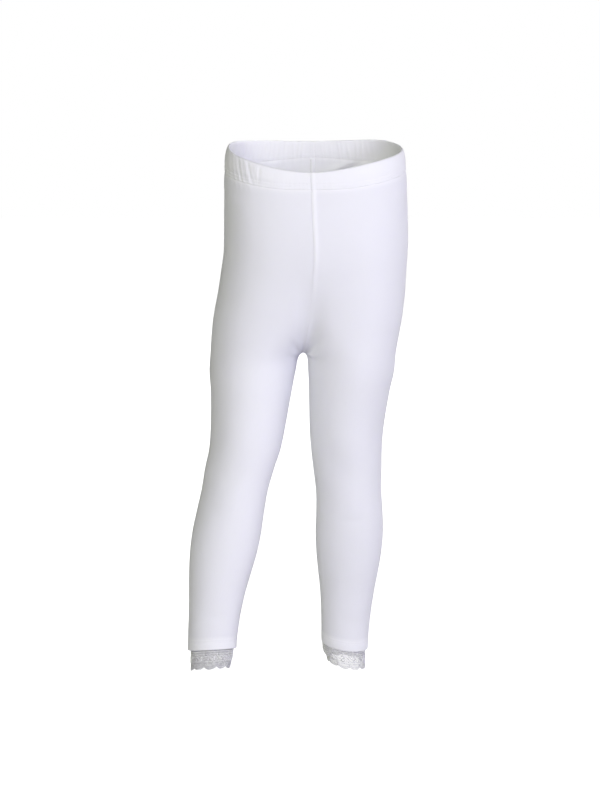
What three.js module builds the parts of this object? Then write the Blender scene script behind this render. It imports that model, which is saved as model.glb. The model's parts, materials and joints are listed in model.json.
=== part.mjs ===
// A small child's white jersey leggings with lace trimmed hems, in their worn form, held open as if on a figure
// taking a short step. Millimetres, +Z up, the front towards -Y and the wearer's left towards +X.
// The origin is the centre of the waist opening, where the wearer holds the garment up.
//
// Each leg is one jersey panel, closed by its inseam and joined to the other at the centre front and back seam.
// The top edge is turned in over an elastic as a gathered casing, and lace is sewn inside each hem.

import * as THREE from "three";
import { mergeVertices } from "three/addons/utils/BufferGeometryUtils.js";

// Cloth walls and the gap left where two pieces are sewn together.
const JERSEY = 1.4;
const HEM_LAYERS = 2.0;
const LACE_WALL = 1.0;
const SEAM_GAP = 0.3;

// Lengths down the garment from the waist.
const CASING = 17;
const CROTCH = 210;
const HEM = 532;
const HEM_TURN = 12;
const LACE_UNDER = 8;
const LACE_SHOWN = 22;

// The top edge: how far the centre front dips and the centre back rises against the sides. Round the sides, where
// the seams don't draw it in, the casing is a little taller.
const SIDE_RISE = 2;
const FRONT_DIP = 19;
const BACK_RISE = 3.5;
const CASING_SIDES = 4.5;

// The gathers that the elastic makes in the casing.
const GATHERS_EACH_SIDE = 24;
const GATHER_DEPTH = 0.7;
const GATHER_COLUMNS = 4;
const CASING_WALL = 3.0;
const CASING_PROUD = 0.5;

// The lace's lower edge.
const SCALLOPS = 10;
const SCALLOP_DEPTH = 3.2;
const SCALLOP_COLUMNS = 7;

// Rows and columns of the leg panels.
const ROWS_ABOVE_CROTCH = 15;
const ROWS_BELOW_CROTCH = 21;
const PANEL_COLUMNS = 28;

// The straight garment. At each drop below the waist a leg's section is a rounded oval, its centre set off from
// the middle of the body. Above the crotch the two ovals run into each other and make the seat.
const SHAPE = [
  { drop: -7, halfWidth: 88.8, offset: 0, front: 71.3, back: 73, square: 2.75 },
  { drop: -2, halfWidth: 90.6, offset: 0, front: 71.8, back: 73.6, square: 2.75 },
  { drop: 5, halfWidth: 92, offset: 0, front: 72.5, back: 74.7, square: 2.8 },
  { drop: 15, halfWidth: 93, offset: 0, front: 73.5, back: 76.2, square: 2.8 },
  { drop: 40, halfWidth: 94, offset: 0, front: 76, back: 80, square: 2.75 },
  { drop: 80, halfWidth: 89.1, offset: 6, front: 76, back: 84, square: 2.6 },
  { drop: 110, halfWidth: 79.5, offset: 16, front: 73, back: 86.5, square: 2.45 },
  { drop: 130, halfWidth: 71.5, offset: 25, front: 69, back: 85.5, square: 2.35 },
  { drop: 150, halfWidth: 64.5, offset: 33, front: 65, back: 82, square: 2.25 },
  { drop: 170, halfWidth: 59.3, offset: 39, front: 61, back: 76.5, square: 2.2 },
  { drop: 190, halfWidth: 52.8, offset: 45, front: 57, back: 69.5, square: 2.1 },
  { drop: 210, halfWidth: 46.4, offset: 50.4, front: 54, back: 62.5, square: 2 },
  { drop: 230, halfWidth: 44.9, offset: 51.7, front: 52, back: 57, square: 2 },
  { drop: 250, halfWidth: 42.4, offset: 51.4, front: 50, back: 53, square: 2 },
  { drop: 292, halfWidth: 38.8, offset: 51, front: 45, back: 46, square: 2 },
  { drop: 336, halfWidth: 36, offset: 51, front: 40, back: 39, square: 2 },
  { drop: 358, halfWidth: 34.7, offset: 51, front: 38, back: 36, square: 2 },
  { drop: 380, halfWidth: 35.2, offset: 51, front: 37, back: 37.5, square: 2 },
  { drop: 402, halfWidth: 35.9, offset: 51, front: 35.5, back: 40.5, square: 2 },
  { drop: 423, halfWidth: 35, offset: 51, front: 33.5, back: 41.5, square: 2 },
  { drop: 445, halfWidth: 32.4, offset: 51, front: 31, back: 39, square: 2 },
  { drop: 467, halfWidth: 29.3, offset: 51, front: 28, back: 35, square: 2 },
  { drop: 488, halfWidth: 27.1, offset: 51, front: 26, back: 31, square: 2 },
  { drop: 510, halfWidth: 25.7, offset: 51, front: 24.5, back: 28.5, square: 2 },
  { drop: 532, halfWidth: 24.5, offset: 51, front: 24, back: 27, square: 2 },
  { drop: 554, halfWidth: 21.8, offset: 51, front: 22, back: 24.5, square: 2 },
];
// How wide the cloth bridges the crease between the two ovals, at the crotch and in step with their offset above it.
const WEB = 16;
const WEB_OFFSET = 51;

// The step. Each leg's sections slide sideways and forward by these amounts. Down to the crotch both move as one.
const STANCE = [
  { drop: 0, rightX: -0.3, rightY: 0, leftX: -0.3, leftY: 0 },
  { drop: 60, rightX: 0.7, rightY: 0, leftX: 0.7, leftY: 0 },
  { drop: 100, rightX: 0.7, rightY: 0, leftX: 0.7, leftY: 0 },
  { drop: 124, rightX: -1.5, rightY: 0, leftX: -1.5, leftY: 0 },
  { drop: 145, rightX: -3.6, rightY: -0.5, leftX: -3.6, leftY: -0.5 },
  { drop: 166, rightX: -6.7, rightY: -1, leftX: -6.7, leftY: -1 },
  { drop: 188, rightX: -9.8, rightY: -2, leftX: -9.8, leftY: -2 },
  { drop: 210, rightX: -12.4, rightY: -3, leftX: -12.4, leftY: -3 },
  { drop: 230, rightX: -13.7, rightY: -6, leftX: -13.9, leftY: -2 },
  { drop: 250, rightX: -15.1, rightY: -10, leftX: -15.4, leftY: 0 },
  { drop: 292, rightX: -19.2, rightY: -19, leftX: -17.7, leftY: 3 },
  { drop: 314, rightX: -22.3, rightY: -24, leftX: -17.6, leftY: 4 },
  { drop: 336, rightX: -28, rightY: -29, leftX: -16.5, leftY: 5 },
  { drop: 380, rightX: -37, rightY: -40, leftX: -14.3, leftY: 7 },
  { drop: 423, rightX: -44, rightY: -51, leftX: -14.6, leftY: 9 },
  { drop: 467, rightX: -50.7, rightY: -61, leftX: -16.1, leftY: 11 },
  { drop: 510, rightX: -55, rightY: -71, leftX: -18.1, leftY: 12 },
  { drop: 532, rightX: -56.1, rightY: -76, leftX: -18.2, leftY: 12.5 },
  { drop: 554, rightX: -58.9, rightY: -81, leftX: -15.8, leftY: 13 },
];

// How far the front middle, with its seam, is pulled sideways, and the depth at which it is pulled as far as that.
const FRONT_PULL = [
  { drop: 0, x: -5.6 },
  { drop: 60, x: -4.2 },
  { drop: 100, x: -2.8 },
  { drop: 145, x: -1.2 },
  { drop: 188, x: 0 },
  { drop: 554, x: 0 },
];
const FRONT_REACH = 72;

// The two legs. side is -1 on the wearer's right. The leg that steps forward stands a little shorter, and its hem
// tips up at the front. hemRaised is how much of a leg's length is drawn up, and hemForward and hemInward are how
// steeply its hem rises towards the front and the inseam. laceShift is how far its scallops sit towards the front
// from the join of the lace at the inseam, in columns. rim is how far the casing is drawn up over the hip, and where.
const RIGHT_RIM = { rise: 4.9, turn: 0.04, width: 0.46 };
const LEFT_RIM = { rise: 3, turn: 0.38, width: 0.34 };
const RIGHT = { name: "right", side: -1, shift: ["rightX", "rightY"], drawnUp: 0.945 };
const LEFT = { name: "left", side: 1, shift: ["leftX", "leftY"], drawnUp: 1 };
const LEGS = [
  { ...RIGHT, hemRaised: 5, hemForward: 0.235, hemInward: 0.055, laceShift: 0, rim: RIGHT_RIM },
  { ...LEFT, hemRaised: 2.5, hemForward: -0.06, hemInward: 0.145, laceShift: 2, rim: LEFT_RIM },
];

// Reads one column of a table at a drop, on a smooth curve through its rows.
function readTable(table, column, drop) {
  const last = table.length - 1;
  let row = 0;
  while (row < last - 1 && drop > table[row + 1].drop) row++;
  const slope = (k) => {
    const above = table[Math.max(k - 1, 0)];
    const below = table[Math.min(k + 1, last)];
    return (below[column] - above[column]) / (below.drop - above.drop);
  };
  const from = table[row];
  const to = table[row + 1];
  const span = to.drop - from.drop;
  const u = THREE.MathUtils.clamp((drop - from.drop) / span, 0, 1);
  const ease = u * u * (3 - 2 * u);
  const leave = u * (1 - u) * (1 - u) * span * slope(row);
  const arrive = u * u * (1 - u) * span * slope(row + 1);
  return from[column] + (to[column] - from[column]) * ease + leave - arrive;
}

function sectionAt(drop) {
  const section = {};
  for (const column of ["halfWidth", "offset", "front", "back", "square"]) {
    section[column] = readTable(SHAPE, column, drop);
  }
  section.offset = Math.max(section.offset, 0);
  return section;
}

// How far a point lies outside one leg's oval, with x and y measured from the oval's centre.
function outsideOval(x, y, section) {
  const depth = y < 0 ? section.front : section.back;
  const n = section.square;
  const across = Math.abs(x / section.halfWidth) ** n + Math.abs(y / depth) ** n;
  return (across ** (1 / n) - 1) * section.halfWidth;
}

// How far a point lies outside both legs' ovals, which the cloth's web joins smoothly.
function outsideForm(x, y, section) {
  const own = outsideOval(x - section.offset, y, section);
  const other = outsideOval(x + section.offset, y, section);
  const web = (WEB * section.offset) / WEB_OFFSET;
  const shared = Math.max(web - Math.abs(own - other), 0);
  return Math.min(own, other) - (web > 0 ? (shared * shared) / (4 * web) : 0);
}

// The distance along a line at which the form's surface is crossed, from a start inside it and short of a limit.
function reachOf(outsideAt, limit) {
  const HALVINGS = 28;
  let inside = 0;
  let outside = limit;
  for (let i = 0; i < HALVINGS; i++) {
    const middle = (inside + outside) / 2;
    if (outsideAt(middle) < 0) inside = middle;
    else outside = middle;
  }
  return inside;
}

// A distance from the middle of a leg that lies outside every section.
const FAR_OUTSIDE = 150;

// The height above the crotch over which a panel's columns turn from the inseam to the front and back seams.
const TURNING = 60;

// A point on the straight garment's surface, on the side where x is positive. turn runs from -1 at the front seam
// through 0 at the side to 1 at the back seam. Below the crotch both ends are the inseam.
function surfacePoint(drop, turn) {
  const section = sectionAt(drop);
  const joined = drop < CROTCH;
  const seamReach = (way) => (joined ? reachOf((d) => outsideForm(0, way * d, section), FAR_OUTSIDE) : 0);
  if (joined && Math.abs(turn) === 1) {
    return new THREE.Vector3(SEAM_GAP / 2, turn * seamReach(turn), -drop);
  }
  const endAngle = joined ? Math.atan2(seamReach(Math.sign(turn) || 1), -section.offset) : Math.PI;
  const nearCrotch = 1 - THREE.MathUtils.smoothstep(CROTCH - drop, 0, TURNING);
  const angle = turn * (endAngle + (Math.PI - endAngle) * nearCrotch * (1 - Math.abs(turn) ** 3));
  const along = new THREE.Vector2(Math.cos(angle), Math.sin(angle));
  const toMiddle = along.x < 0 ? Math.min(-section.offset / along.x, FAR_OUTSIDE) : FAR_OUTSIDE;
  const reach = reachOf((d) => outsideForm(section.offset + d * along.x, d * along.y, section), toMiddle);
  const x = Math.max(section.offset + reach * along.x, SEAM_GAP / 2);
  return new THREE.Vector3(x, reach * along.y, -drop);
}

// Moves a point of the straight garment, given on the positive side, to its place on one leg of the stepping figure.
function intoStance(point, leg) {
  const drop = -point.z;
  const [shiftX, shiftY] = leg.shift.map((column) => readTable(STANCE, column, drop));
  const below = Math.max(drop - CROTCH, 0);
  const ahead = Math.max(-point.y, 0) / FRONT_REACH;
  return new THREE.Vector3(
    leg.side * point.x + shiftX + readTable(FRONT_PULL, "x", drop) * ahead ** 2,
    point.y + shiftY,
    -(drop - below + below * leg.drawnUp),
  );
}

// How far the casing is drawn up over one hip.
function pulledUp(turn, leg) {
  return leg.rim.rise * Math.exp(-(((turn - leg.rim.turn) / leg.rim.width) ** 2));
}

// The top edge's drop at a turn, from the level of the waist.
function topEdge(turn, leg) {
  const toFront = Math.cos(((turn + 1) * Math.PI) / 2);
  const toSide = Math.sin(((turn + 1) * Math.PI) / 2);
  const dip = toFront > 0 ? FRONT_DIP * toFront ** 2 : -BACK_RISE * (1 - toSide ** 6);
  return dip - SIDE_RISE - pulledUp(turn, leg);
}

// How tall the casing is at a turn.
function casingHeight(turn, leg) {
  return CASING + CASING_SIDES * (1 - Math.cos(((turn + 1) * Math.PI) / 2) ** 8) + pulledUp(turn, leg);
}

// How much a hem's drop differs from level at a turn.
function hemSlant(turn, leg) {
  const hem = sectionAt(HEM);
  const forward = -Math.sin(turn * Math.PI) * (turn < 0 ? hem.front : hem.back);
  const outward = Math.cos(turn * Math.PI) * hem.halfWidth;
  return leg.hemInward * outward - leg.hemForward * forward - leg.hemRaised;
}

// The drop of a point on a level line of the panel. Lines crowd together at the seam near the crotch, where the
// seam turns under, and they take up the slant of the top edge and of the hem.
function lineDrop(level, turn, leg) {
  const CROWDED = 170;
  const CROWDING = 1.7;
  const away = level - CROTCH;
  const near = Math.min(Math.abs(away) / CROWDED, 1);
  const atSeam = near < 1 ? CROTCH + Math.sign(away) * CROWDED * near ** CROWDING : level;
  const nearTop = 1 - THREE.MathUtils.smoothstep(level, CASING + SEAM_GAP, CROTCH - 60);
  const nearHem = THREE.MathUtils.smoothstep(level, CROTCH + 150, HEM);
  const underCasing = topEdge(turn, leg) + casingHeight(turn, leg) - CASING;
  return level + (atSeam - level) * turn ** 2 + nearTop * underCasing + nearHem * hemSlant(turn, leg);
}

// The value of closedFrom for a wall whose every row closes on itself.
const ALL_ROUND = -1;

// The outward direction at each point of a grid, from its neighbours. Rows from closedFrom down close on themselves.
// On the open rows the two end columns stay in the seam's plane.
function outwardDirections(grid, closedFrom) {
  const lastColumn = grid[0].length - 1;
  return grid.map((points, row) =>
    points.map((_, column) => {
      const atEnd = column === 0 || column === lastColumn;
      const closed = row >= closedFrom;
      const ahead = closed && atEnd ? points[1] : points[Math.min(column + 1, lastColumn)];
      const behind = closed && atEnd ? points[lastColumn - 1] : points[Math.max(column - 1, 0)];
      const above = grid[Math.max(row - 1, 0)];
      const below = grid[Math.min(row + 1, grid.length - 1)];
      const mirror = closed && atEnd ? lastColumn - column : column;
      const up = above[column].clone().add(above[mirror]).multiplyScalar(0.5);
      const down = below[column].clone().add(below[mirror]).multiplyScalar(0.5);
      const direction = ahead.clone().sub(behind).cross(up.sub(down));
      if (atEnd && row <= closedFrom) direction.x = 0;
      return direction.normalize();
    }),
  );
}

// A closed wall between an outer and an inner grid of points. Rows from closedFrom down close on themselves, and
// above it the wall's two ends are shut by narrow faces at the seam.
function wallGeometry(outer, inner, closedFrom, turnedRound) {
  const rows = outer.length;
  const columns = outer[0].length;
  const positions = [...outer.flat(), ...inner.flat()].flatMap((p) => p.toArray());
  const index = [];
  const out = (row, column) => row * columns + column;
  const inn = (row, column) => rows * columns + row * columns + column;
  const face = (a, b, c, d) => {
    if (turnedRound) index.push(a, c, b, a, d, c);
    else index.push(a, b, c, a, c, d);
  };
  for (let r = 0; r < rows - 1; r++) {
    for (let c = 0; c < columns - 1; c++) {
      face(out(r, c), out(r + 1, c), out(r + 1, c + 1), out(r, c + 1));
      face(inn(r, c), inn(r, c + 1), inn(r + 1, c + 1), inn(r + 1, c));
    }
  }
  for (let c = 0; c < columns - 1; c++) {
    const low = rows - 1;
    face(out(0, c), out(0, c + 1), inn(0, c + 1), inn(0, c));
    face(out(low, c), inn(low, c), inn(low, c + 1), out(low, c + 1));
  }
  for (let r = 0; r < Math.min(closedFrom, rows - 1); r++) {
    const end = columns - 1;
    face(out(r, 0), inn(r, 0), inn(r + 1, 0), out(r + 1, 0));
    face(out(r, end), out(r + 1, end), inn(r + 1, end), inn(r, end));
  }
  const geometry = new THREE.BufferGeometry();
  geometry.setAttribute("position", new THREE.Float32BufferAttribute(positions, 3));
  geometry.setIndex(index);
  const welded = mergeVertices(geometry, 1e-3);
  welded.computeVertexNormals();
  return welded;
}

// Builds a wall on one leg's side from a grid of surface points, each with the depths of its two faces
// below the form's surface.
function clothWall(grid, closedFrom, leg, outerDepth, innerDepth) {
  const directions = outwardDirections(grid, closedFrom);
  const faceAt = (depth) =>
    grid.map((points, row) =>
      points.map((point, column) => {
        const moved = point.clone().addScaledVector(directions[row][column], -depth(row, column));
        return intoStance(moved, leg);
      }),
    );
  return wallGeometry(faceAt(outerDepth), faceAt(innerDepth), closedFrom, leg.side < 0);
}

const cotton = new THREE.MeshStandardMaterial({ color: 0xeeedf6, roughness: 0.85, metalness: 0 });
const casingCotton = new THREE.MeshStandardMaterial({ color: 0xf2f1f8, roughness: 0.85, metalness: 0 });
const laceThread = new THREE.MeshStandardMaterial({ color: 0xe6e6ea, roughness: 0.8, metalness: 0 });

const spread = (count, from, to) => Array.from({ length: count + 1 }, (_, i) => from + ((to - from) * i) / count);

// One leg panel, from under the casing to the turned hem, which is two layers thick.
function legPanel(leg) {
  const top = CASING + SEAM_GAP;
  const hemLine = HEM - HEM_TURN;
  const levels = [
    ...spread(ROWS_ABOVE_CROTCH, top, CROTCH),
    ...spread(ROWS_BELOW_CROTCH, CROTCH, hemLine).slice(1),
    hemLine + 1,
    HEM,
  ];
  const turns = spread(PANEL_COLUMNS, -1, 1);
  const grid = levels.map((level) => turns.map((turn) => surfacePoint(lineDrop(level, turn, leg), turn)));
  const thickness = (row) => (levels[row] > hemLine ? HEM_LAYERS : JERSEY);
  const geometry = clothWall(grid, ROWS_ABOVE_CROTCH, leg, () => 0, thickness);
  const panel = new THREE.Mesh(geometry, cotton);
  panel.name = "leg_" + leg.name;
  return panel;
}

// Half of the elastic casing, from the centre front round one side to the centre back. Its gathers are deeper and
// closer at the side than at the front.
function casingHalf(leg) {
  const levels = [
    { down: 0, outer: 1.1, inner: 1.7 },
    { down: 0.07, outer: 0.2, inner: CASING_WALL - 0.6 },
    { down: 0.5, outer: -CASING_PROUD, inner: CASING_WALL - CASING_PROUD },
    { down: 1, outer: 0.1, inner: CASING_WALL - CASING_PROUD },
  ];
  const turns = spread(GATHERS_EACH_SIDE * GATHER_COLUMNS, -1, 1);
  const gatherAt = (turn) => {
    const toSide = Math.cos((turn * Math.PI) / 2);
    const phase = ((turn + 1) / 2) * GATHERS_EACH_SIDE - 0.6 * Math.sin(turn * Math.PI);
    const fade = Math.abs(turn) === 1 ? 0 : 1;
    return fade * GATHER_DEPTH * (0.45 + 0.55 * toSide) * Math.cos(phase * 2 * Math.PI);
  };
  const grid = levels.map(({ down }) =>
    turns.map((turn) => surfacePoint(topEdge(turn, leg) + down * casingHeight(turn, leg), turn)),
  );
  const outerDepth = (row, column) => levels[row].outer + gatherAt(turns[column]);
  const innerDepth = (row, column) => levels[row].inner + gatherAt(turns[column]);
  const geometry = clothWall(grid, levels.length, leg, outerDepth, innerDepth);
  const casing = new THREE.Mesh(geometry, casingCotton);
  casing.name = "casing_" + leg.name;
  return casing;
}

// The lace ring inside one hem. Its upper edge is hidden behind the hem and its lower edge is scalloped.
function laceTrim(leg) {
  const inset = HEM_LAYERS + SEAM_GAP;
  const levels = [-LACE_UNDER, LACE_SHOWN * 0.3, LACE_SHOWN - SCALLOP_DEPTH, LACE_SHOWN];
  const turns = spread(SCALLOPS * SCALLOP_COLUMNS, -1, 1);
  const shift = leg.laceShift / SCALLOP_COLUMNS;
  const lobe = (turn) => Math.abs(Math.sin((((turn + 1) / 2) * SCALLOPS + shift) * Math.PI)) ** 0.7;
  const grid = levels.map((level) =>
    turns.map((turn) => {
      const cutAway = level === LACE_SHOWN ? SCALLOP_DEPTH * (1 - lobe(turn)) * 0.95 : 0;
      return surfacePoint(HEM + level - cutAway + hemSlant(turn, leg), turn);
    }),
  );
  const geometry = clothWall(grid, ALL_ROUND, leg, () => inset, () => inset + LACE_WALL);
  const lace = new THREE.Mesh(geometry, laceThread);
  lace.name = "lace_" + leg.name;
  return lace;
}

const leggings = new THREE.Group();
for (const leg of LEGS) {
  leggings.add(legPanel(leg), casingHalf(leg), laceTrim(leg));
}

export default leggings;
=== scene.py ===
"""A small child's leggings in fine white jersey, with a gathered waist and lace at the hems.

The garment is shown empty, in the filled-out form of a figure that takes a short step with its right leg. The
front is towards -Y, the wearer's left towards +X and +Z is up. Sizes in the tables and fields are in
millimetres, and become metres when a mesh is made.
"""

import json
import logging
import math
from dataclasses import dataclass, field
from enum import Enum
from typing import Callable, Sequence

import bpy
import numpy as np
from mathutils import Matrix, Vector

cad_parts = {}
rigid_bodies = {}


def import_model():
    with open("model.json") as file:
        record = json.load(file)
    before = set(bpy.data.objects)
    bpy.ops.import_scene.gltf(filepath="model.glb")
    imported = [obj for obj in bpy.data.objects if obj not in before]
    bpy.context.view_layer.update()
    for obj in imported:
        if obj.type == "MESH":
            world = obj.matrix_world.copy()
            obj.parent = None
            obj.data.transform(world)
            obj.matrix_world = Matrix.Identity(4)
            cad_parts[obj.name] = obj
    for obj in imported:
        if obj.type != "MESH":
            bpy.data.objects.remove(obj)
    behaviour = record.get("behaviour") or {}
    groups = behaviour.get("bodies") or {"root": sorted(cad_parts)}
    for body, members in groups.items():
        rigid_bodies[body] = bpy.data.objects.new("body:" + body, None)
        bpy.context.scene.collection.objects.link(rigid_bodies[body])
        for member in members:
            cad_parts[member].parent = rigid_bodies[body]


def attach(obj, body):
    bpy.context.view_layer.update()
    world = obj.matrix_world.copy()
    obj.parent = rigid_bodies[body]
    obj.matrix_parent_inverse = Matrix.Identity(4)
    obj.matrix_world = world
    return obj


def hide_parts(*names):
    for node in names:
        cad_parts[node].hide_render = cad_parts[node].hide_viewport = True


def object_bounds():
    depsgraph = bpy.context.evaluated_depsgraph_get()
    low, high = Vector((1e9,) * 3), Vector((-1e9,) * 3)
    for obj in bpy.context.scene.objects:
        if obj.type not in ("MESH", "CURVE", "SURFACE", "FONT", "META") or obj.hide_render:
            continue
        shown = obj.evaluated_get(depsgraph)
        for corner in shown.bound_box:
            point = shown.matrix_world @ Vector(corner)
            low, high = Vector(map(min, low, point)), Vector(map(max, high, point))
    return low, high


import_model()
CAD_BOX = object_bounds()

log = logging.getLogger("leggings")

MM = 0.001
BODY = "root"

# Lengths down the garment from the waist.
CASING = 17.0
CASING_SIDES = 4.5
CROTCH = 210.0
HEM = 532.0
HEM_TURN = 12.0
LACE_SHOWN = 22.0
SCALLOP_DEPTH = 3.2
SCALLOPS = 10

# The top edge's rise at the sides and the back, and its dip at the front.
SIDE_RISE = 2.0
FRONT_DIP = 19.0
BACK_RISE = 3.5

# The gathers in each half of the casing.
GATHERS_EACH_SIDE = 24

# Cloth thickness, and half the width of the crack between the two panels at a seam.
JERSEY = 1.2
HEM_LAYERS = 1.9
LACE_INSET = 2.7
SEAM_CRACK = 0.02

# The groove along a seam, and the low band over its pressed edges, with where the band rises and falls.
GROOVE_DEPTH = 0.05
GROOVE_WIDTH = 0.4
BAND_HEIGHT = 0.6
BAND_RISE = (-0.1, 2.4)
BAND_FALL = (2.9, 6.6)

# Painted light on the inside faces of the cloth, standing in for the light that reaches in there: how much
# paler they are made, on the scale of the cloth's doubling.
INSIDE_PAINTED_LIGHT = 1.3

# The straight garment's sections. Above the crotch the two legs' ovals run into each other.
SHAPE_COLUMNS = ("drop", "half_width", "offset", "front", "back", "square")
SHAPE = (
    (-7, 88.8, 0, 71.3, 73, 2.75),
    (-2, 90.6, 0, 71.8, 73.6, 2.75),
    (5, 92, 0, 72.5, 74.7, 2.8),
    (15, 93, 0, 73.5, 76.2, 2.8),
    (40, 94, 0, 76, 80, 2.75),
    (80, 89.1, 6, 76, 84, 2.6),
    (110, 79.5, 16, 73, 86.5, 2.45),
    (130, 71.5, 25, 69, 85.5, 2.35),
    (150, 64.5, 33, 65, 82, 2.25),
    (170, 59.3, 39, 61, 76.5, 2.2),
    (190, 52.8, 45, 57, 69.5, 2.1),
    (210, 46.4, 50.4, 54, 62.5, 2),
    (230, 44.9, 51.7, 52, 57, 2),
    (250, 42.4, 51.4, 50, 53, 2),
    (292, 38.8, 51, 45, 46, 2),
    (336, 36, 51, 40, 39, 2),
    (358, 34.7, 51, 38, 36, 2),
    (380, 35.2, 51, 37, 37.5, 2),
    (402, 35.9, 51, 35.5, 40.5, 2),
    (423, 35, 51, 33.5, 41.5, 2),
    (445, 32.4, 51, 31, 39, 2),
    (467, 29.3, 51, 28, 35, 2),
    (488, 27.1, 51, 26, 31, 2),
    (510, 25.7, 51, 24.5, 28.5, 2),
    (532, 24.5, 51, 24, 27, 2),
    (554, 21.8, 51, 22, 24.5, 2),
)
WEB = 16.0
WEB_OFFSET = 51.0

# How far each leg's sections slide sideways and forward in the step.
STANCE_COLUMNS = ("drop", "right_x", "right_y", "left_x", "left_y")
STANCE = (
    (0, -0.3, 0, -0.3, 0),
    (60, 0.7, 0, 0.7, 0),
    (100, 0.7, 0, 0.7, 0),
    (124, -1.5, 0, -1.5, 0),
    (145, -3.6, -0.5, -3.6, -0.5),
    (166, -6.7, -1, -6.7, -1),
    (188, -9.8, -2, -9.8, -2),
    (210, -12.4, -3, -12.4, -3),
    (230, -13.7, -6, -13.9, -2),
    (250, -15.1, -10, -15.4, 0),
    (292, -19.2, -19, -17.7, 3),
    (314, -22.3, -24, -17.6, 4),
    (336, -28, -29, -16.5, 5),
    (380, -37, -40, -14.3, 7),
    (423, -44, -51, -14.6, 9),
    (467, -50.7, -61, -16.1, 11),
    (510, -55, -71, -18.1, 12),
    (532, -56.1, -76, -18.2, 12.5),
    (554, -58.9, -81, -15.8, 13),
)

# How far the front middle, with its seam, is pulled sideways, and the depth where the pull is whole.
PULL_COLUMNS = ("drop", "x")
FRONT_PULL = ((0, -5.6), (60, -4.2), (100, -2.8), (145, -1.2), (188, 0), (554, 0))
FRONT_REACH = 72.0


class Side(Enum):
    """The wearer's side that a piece belongs to."""

    RIGHT = -1
    LEFT = 1

    @property
    def word(self) -> str:
        """The side's name in lower case, as the solids' names have it."""
        return self.name.lower()


@dataclass(frozen=True)
class Rim:
    """How far the casing is drawn up over one hip: the most, the turn where that is, and its width."""

    rise: float
    turn: float
    width: float

    def at(self, turn: np.ndarray) -> np.ndarray:
        """The rise at each turn."""
        return self.rise * np.exp(-(((turn - self.turn) / self.width) ** 2))


@dataclass(frozen=True)
class Leg:
    """One leg's place in the step.

    drawn_up is the share of its length below the crotch that the bent leg leaves. hem_raised is how far the
    hem is lifted, and hem_forward and hem_inward are how steeply it rises towards the front and the inseam.
    lace_shift is how far the scallops sit towards the front from the lace's join, as a share of one, and
    lace_flare is how far the lace stands out near that join.
    """

    side: Side
    drawn_up: float
    hem_raised: float
    hem_forward: float
    hem_inward: float
    lace_shift: float
    lace_flare: float
    rim: Rim


LEGS = (
    Leg(Side.RIGHT, drawn_up=0.945, hem_raised=5.0, hem_forward=0.235, hem_inward=0.055, lace_shift=0.0,
        lace_flare=0.0, rim=Rim(rise=4.9, turn=0.04, width=0.46)),
    Leg(Side.LEFT, drawn_up=1.0, hem_raised=2.5, hem_forward=-0.06, hem_inward=0.145, lace_shift=2 / 7,
        lace_flare=2.2, rim=Rim(rise=3.0, turn=0.38, width=0.34)),
)


def smoothstep(x: np.ndarray, low: float, high: float) -> np.ndarray:
    """Rises smoothly from 0 at low to 1 at high."""
    t = np.clip((x - low) / (high - low), 0.0, 1.0)
    return t * t * (3 - 2 * t)


class Table:
    """Rows of numbers with named columns, read on a smooth curve through them."""

    def __init__(self, columns: tuple[str, ...], rows: tuple[tuple[float, ...], ...]) -> None:
        """Keeps the rows and the slope of each column at each row."""
        values = np.array(rows, dtype=float)
        self.at = values[:, 0]
        self.values = {name: values[:, i] for i, name in enumerate(columns)}
        above = np.maximum(np.arange(len(rows)) - 1, 0)
        below = np.minimum(np.arange(len(rows)) + 1, len(rows) - 1)
        span = self.at[below] - self.at[above]
        self.slopes = {name: (v[below] - v[above]) / span for name, v in self.values.items()}

    def read(self, column: str, drop: np.ndarray) -> np.ndarray:
        """Reads a column.

        Args:
            column: the column's name.
            drop: distances below the waist.

        Returns:
            The column's value at each distance.
        """
        row = np.clip(np.searchsorted(self.at, drop) - 1, 0, len(self.at) - 2)
        span = self.at[row + 1] - self.at[row]
        u = np.clip((drop - self.at[row]) / span, 0.0, 1.0)
        start, end = self.values[column][row], self.values[column][row + 1]
        leave = u * (1 - u) ** 2 * span * self.slopes[column][row]
        arrive = u * u * (1 - u) * span * self.slopes[column][row + 1]
        return start + (end - start) * u * u * (3 - 2 * u) + leave - arrive


@dataclass
class Section:
    """The ovals of both legs at some drops, each value an array."""

    half_width: np.ndarray
    offset: np.ndarray
    front: np.ndarray
    back: np.ndarray
    square: np.ndarray

    def outside_oval(self, x: np.ndarray, y: np.ndarray) -> np.ndarray:
        """How far points lie outside one oval, with x and y from its centre."""
        depth = np.where(y < 0, self.front, self.back)
        across = np.abs(x / self.half_width) ** self.square + np.abs(y / depth) ** self.square
        return (across ** (1 / self.square) - 1) * self.half_width

    def outside(self, x: np.ndarray, y: np.ndarray) -> np.ndarray:
        """How far points lie outside both ovals and the web of cloth between them."""
        own = self.outside_oval(x - self.offset, y)
        other = self.outside_oval(x + self.offset, y)
        web = np.maximum(WEB * self.offset / WEB_OFFSET, 1e-6)
        shared = np.maximum(web - np.abs(own - other), 0)
        return np.minimum(own, other) - shared**2 / (4 * web)


def crossing(outside_at: Callable[[np.ndarray], np.ndarray], limit: np.ndarray) -> np.ndarray:
    """Finds where lines cross the surface.

    Args:
        outside_at: says how far outside the surface each line is at a distance along it.
        limit: the longest distance looked at on each line.

    Returns:
        Each line's distance to the surface.
    """
    halvings = 28
    inside = np.zeros_like(limit)
    outside = limit.copy()
    for _ in range(halvings):
        middle = (inside + outside) / 2
        is_in = outside_at(middle) < 0
        inside = np.where(is_in, middle, inside)
        outside = np.where(is_in, outside, middle)
    return inside


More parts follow.
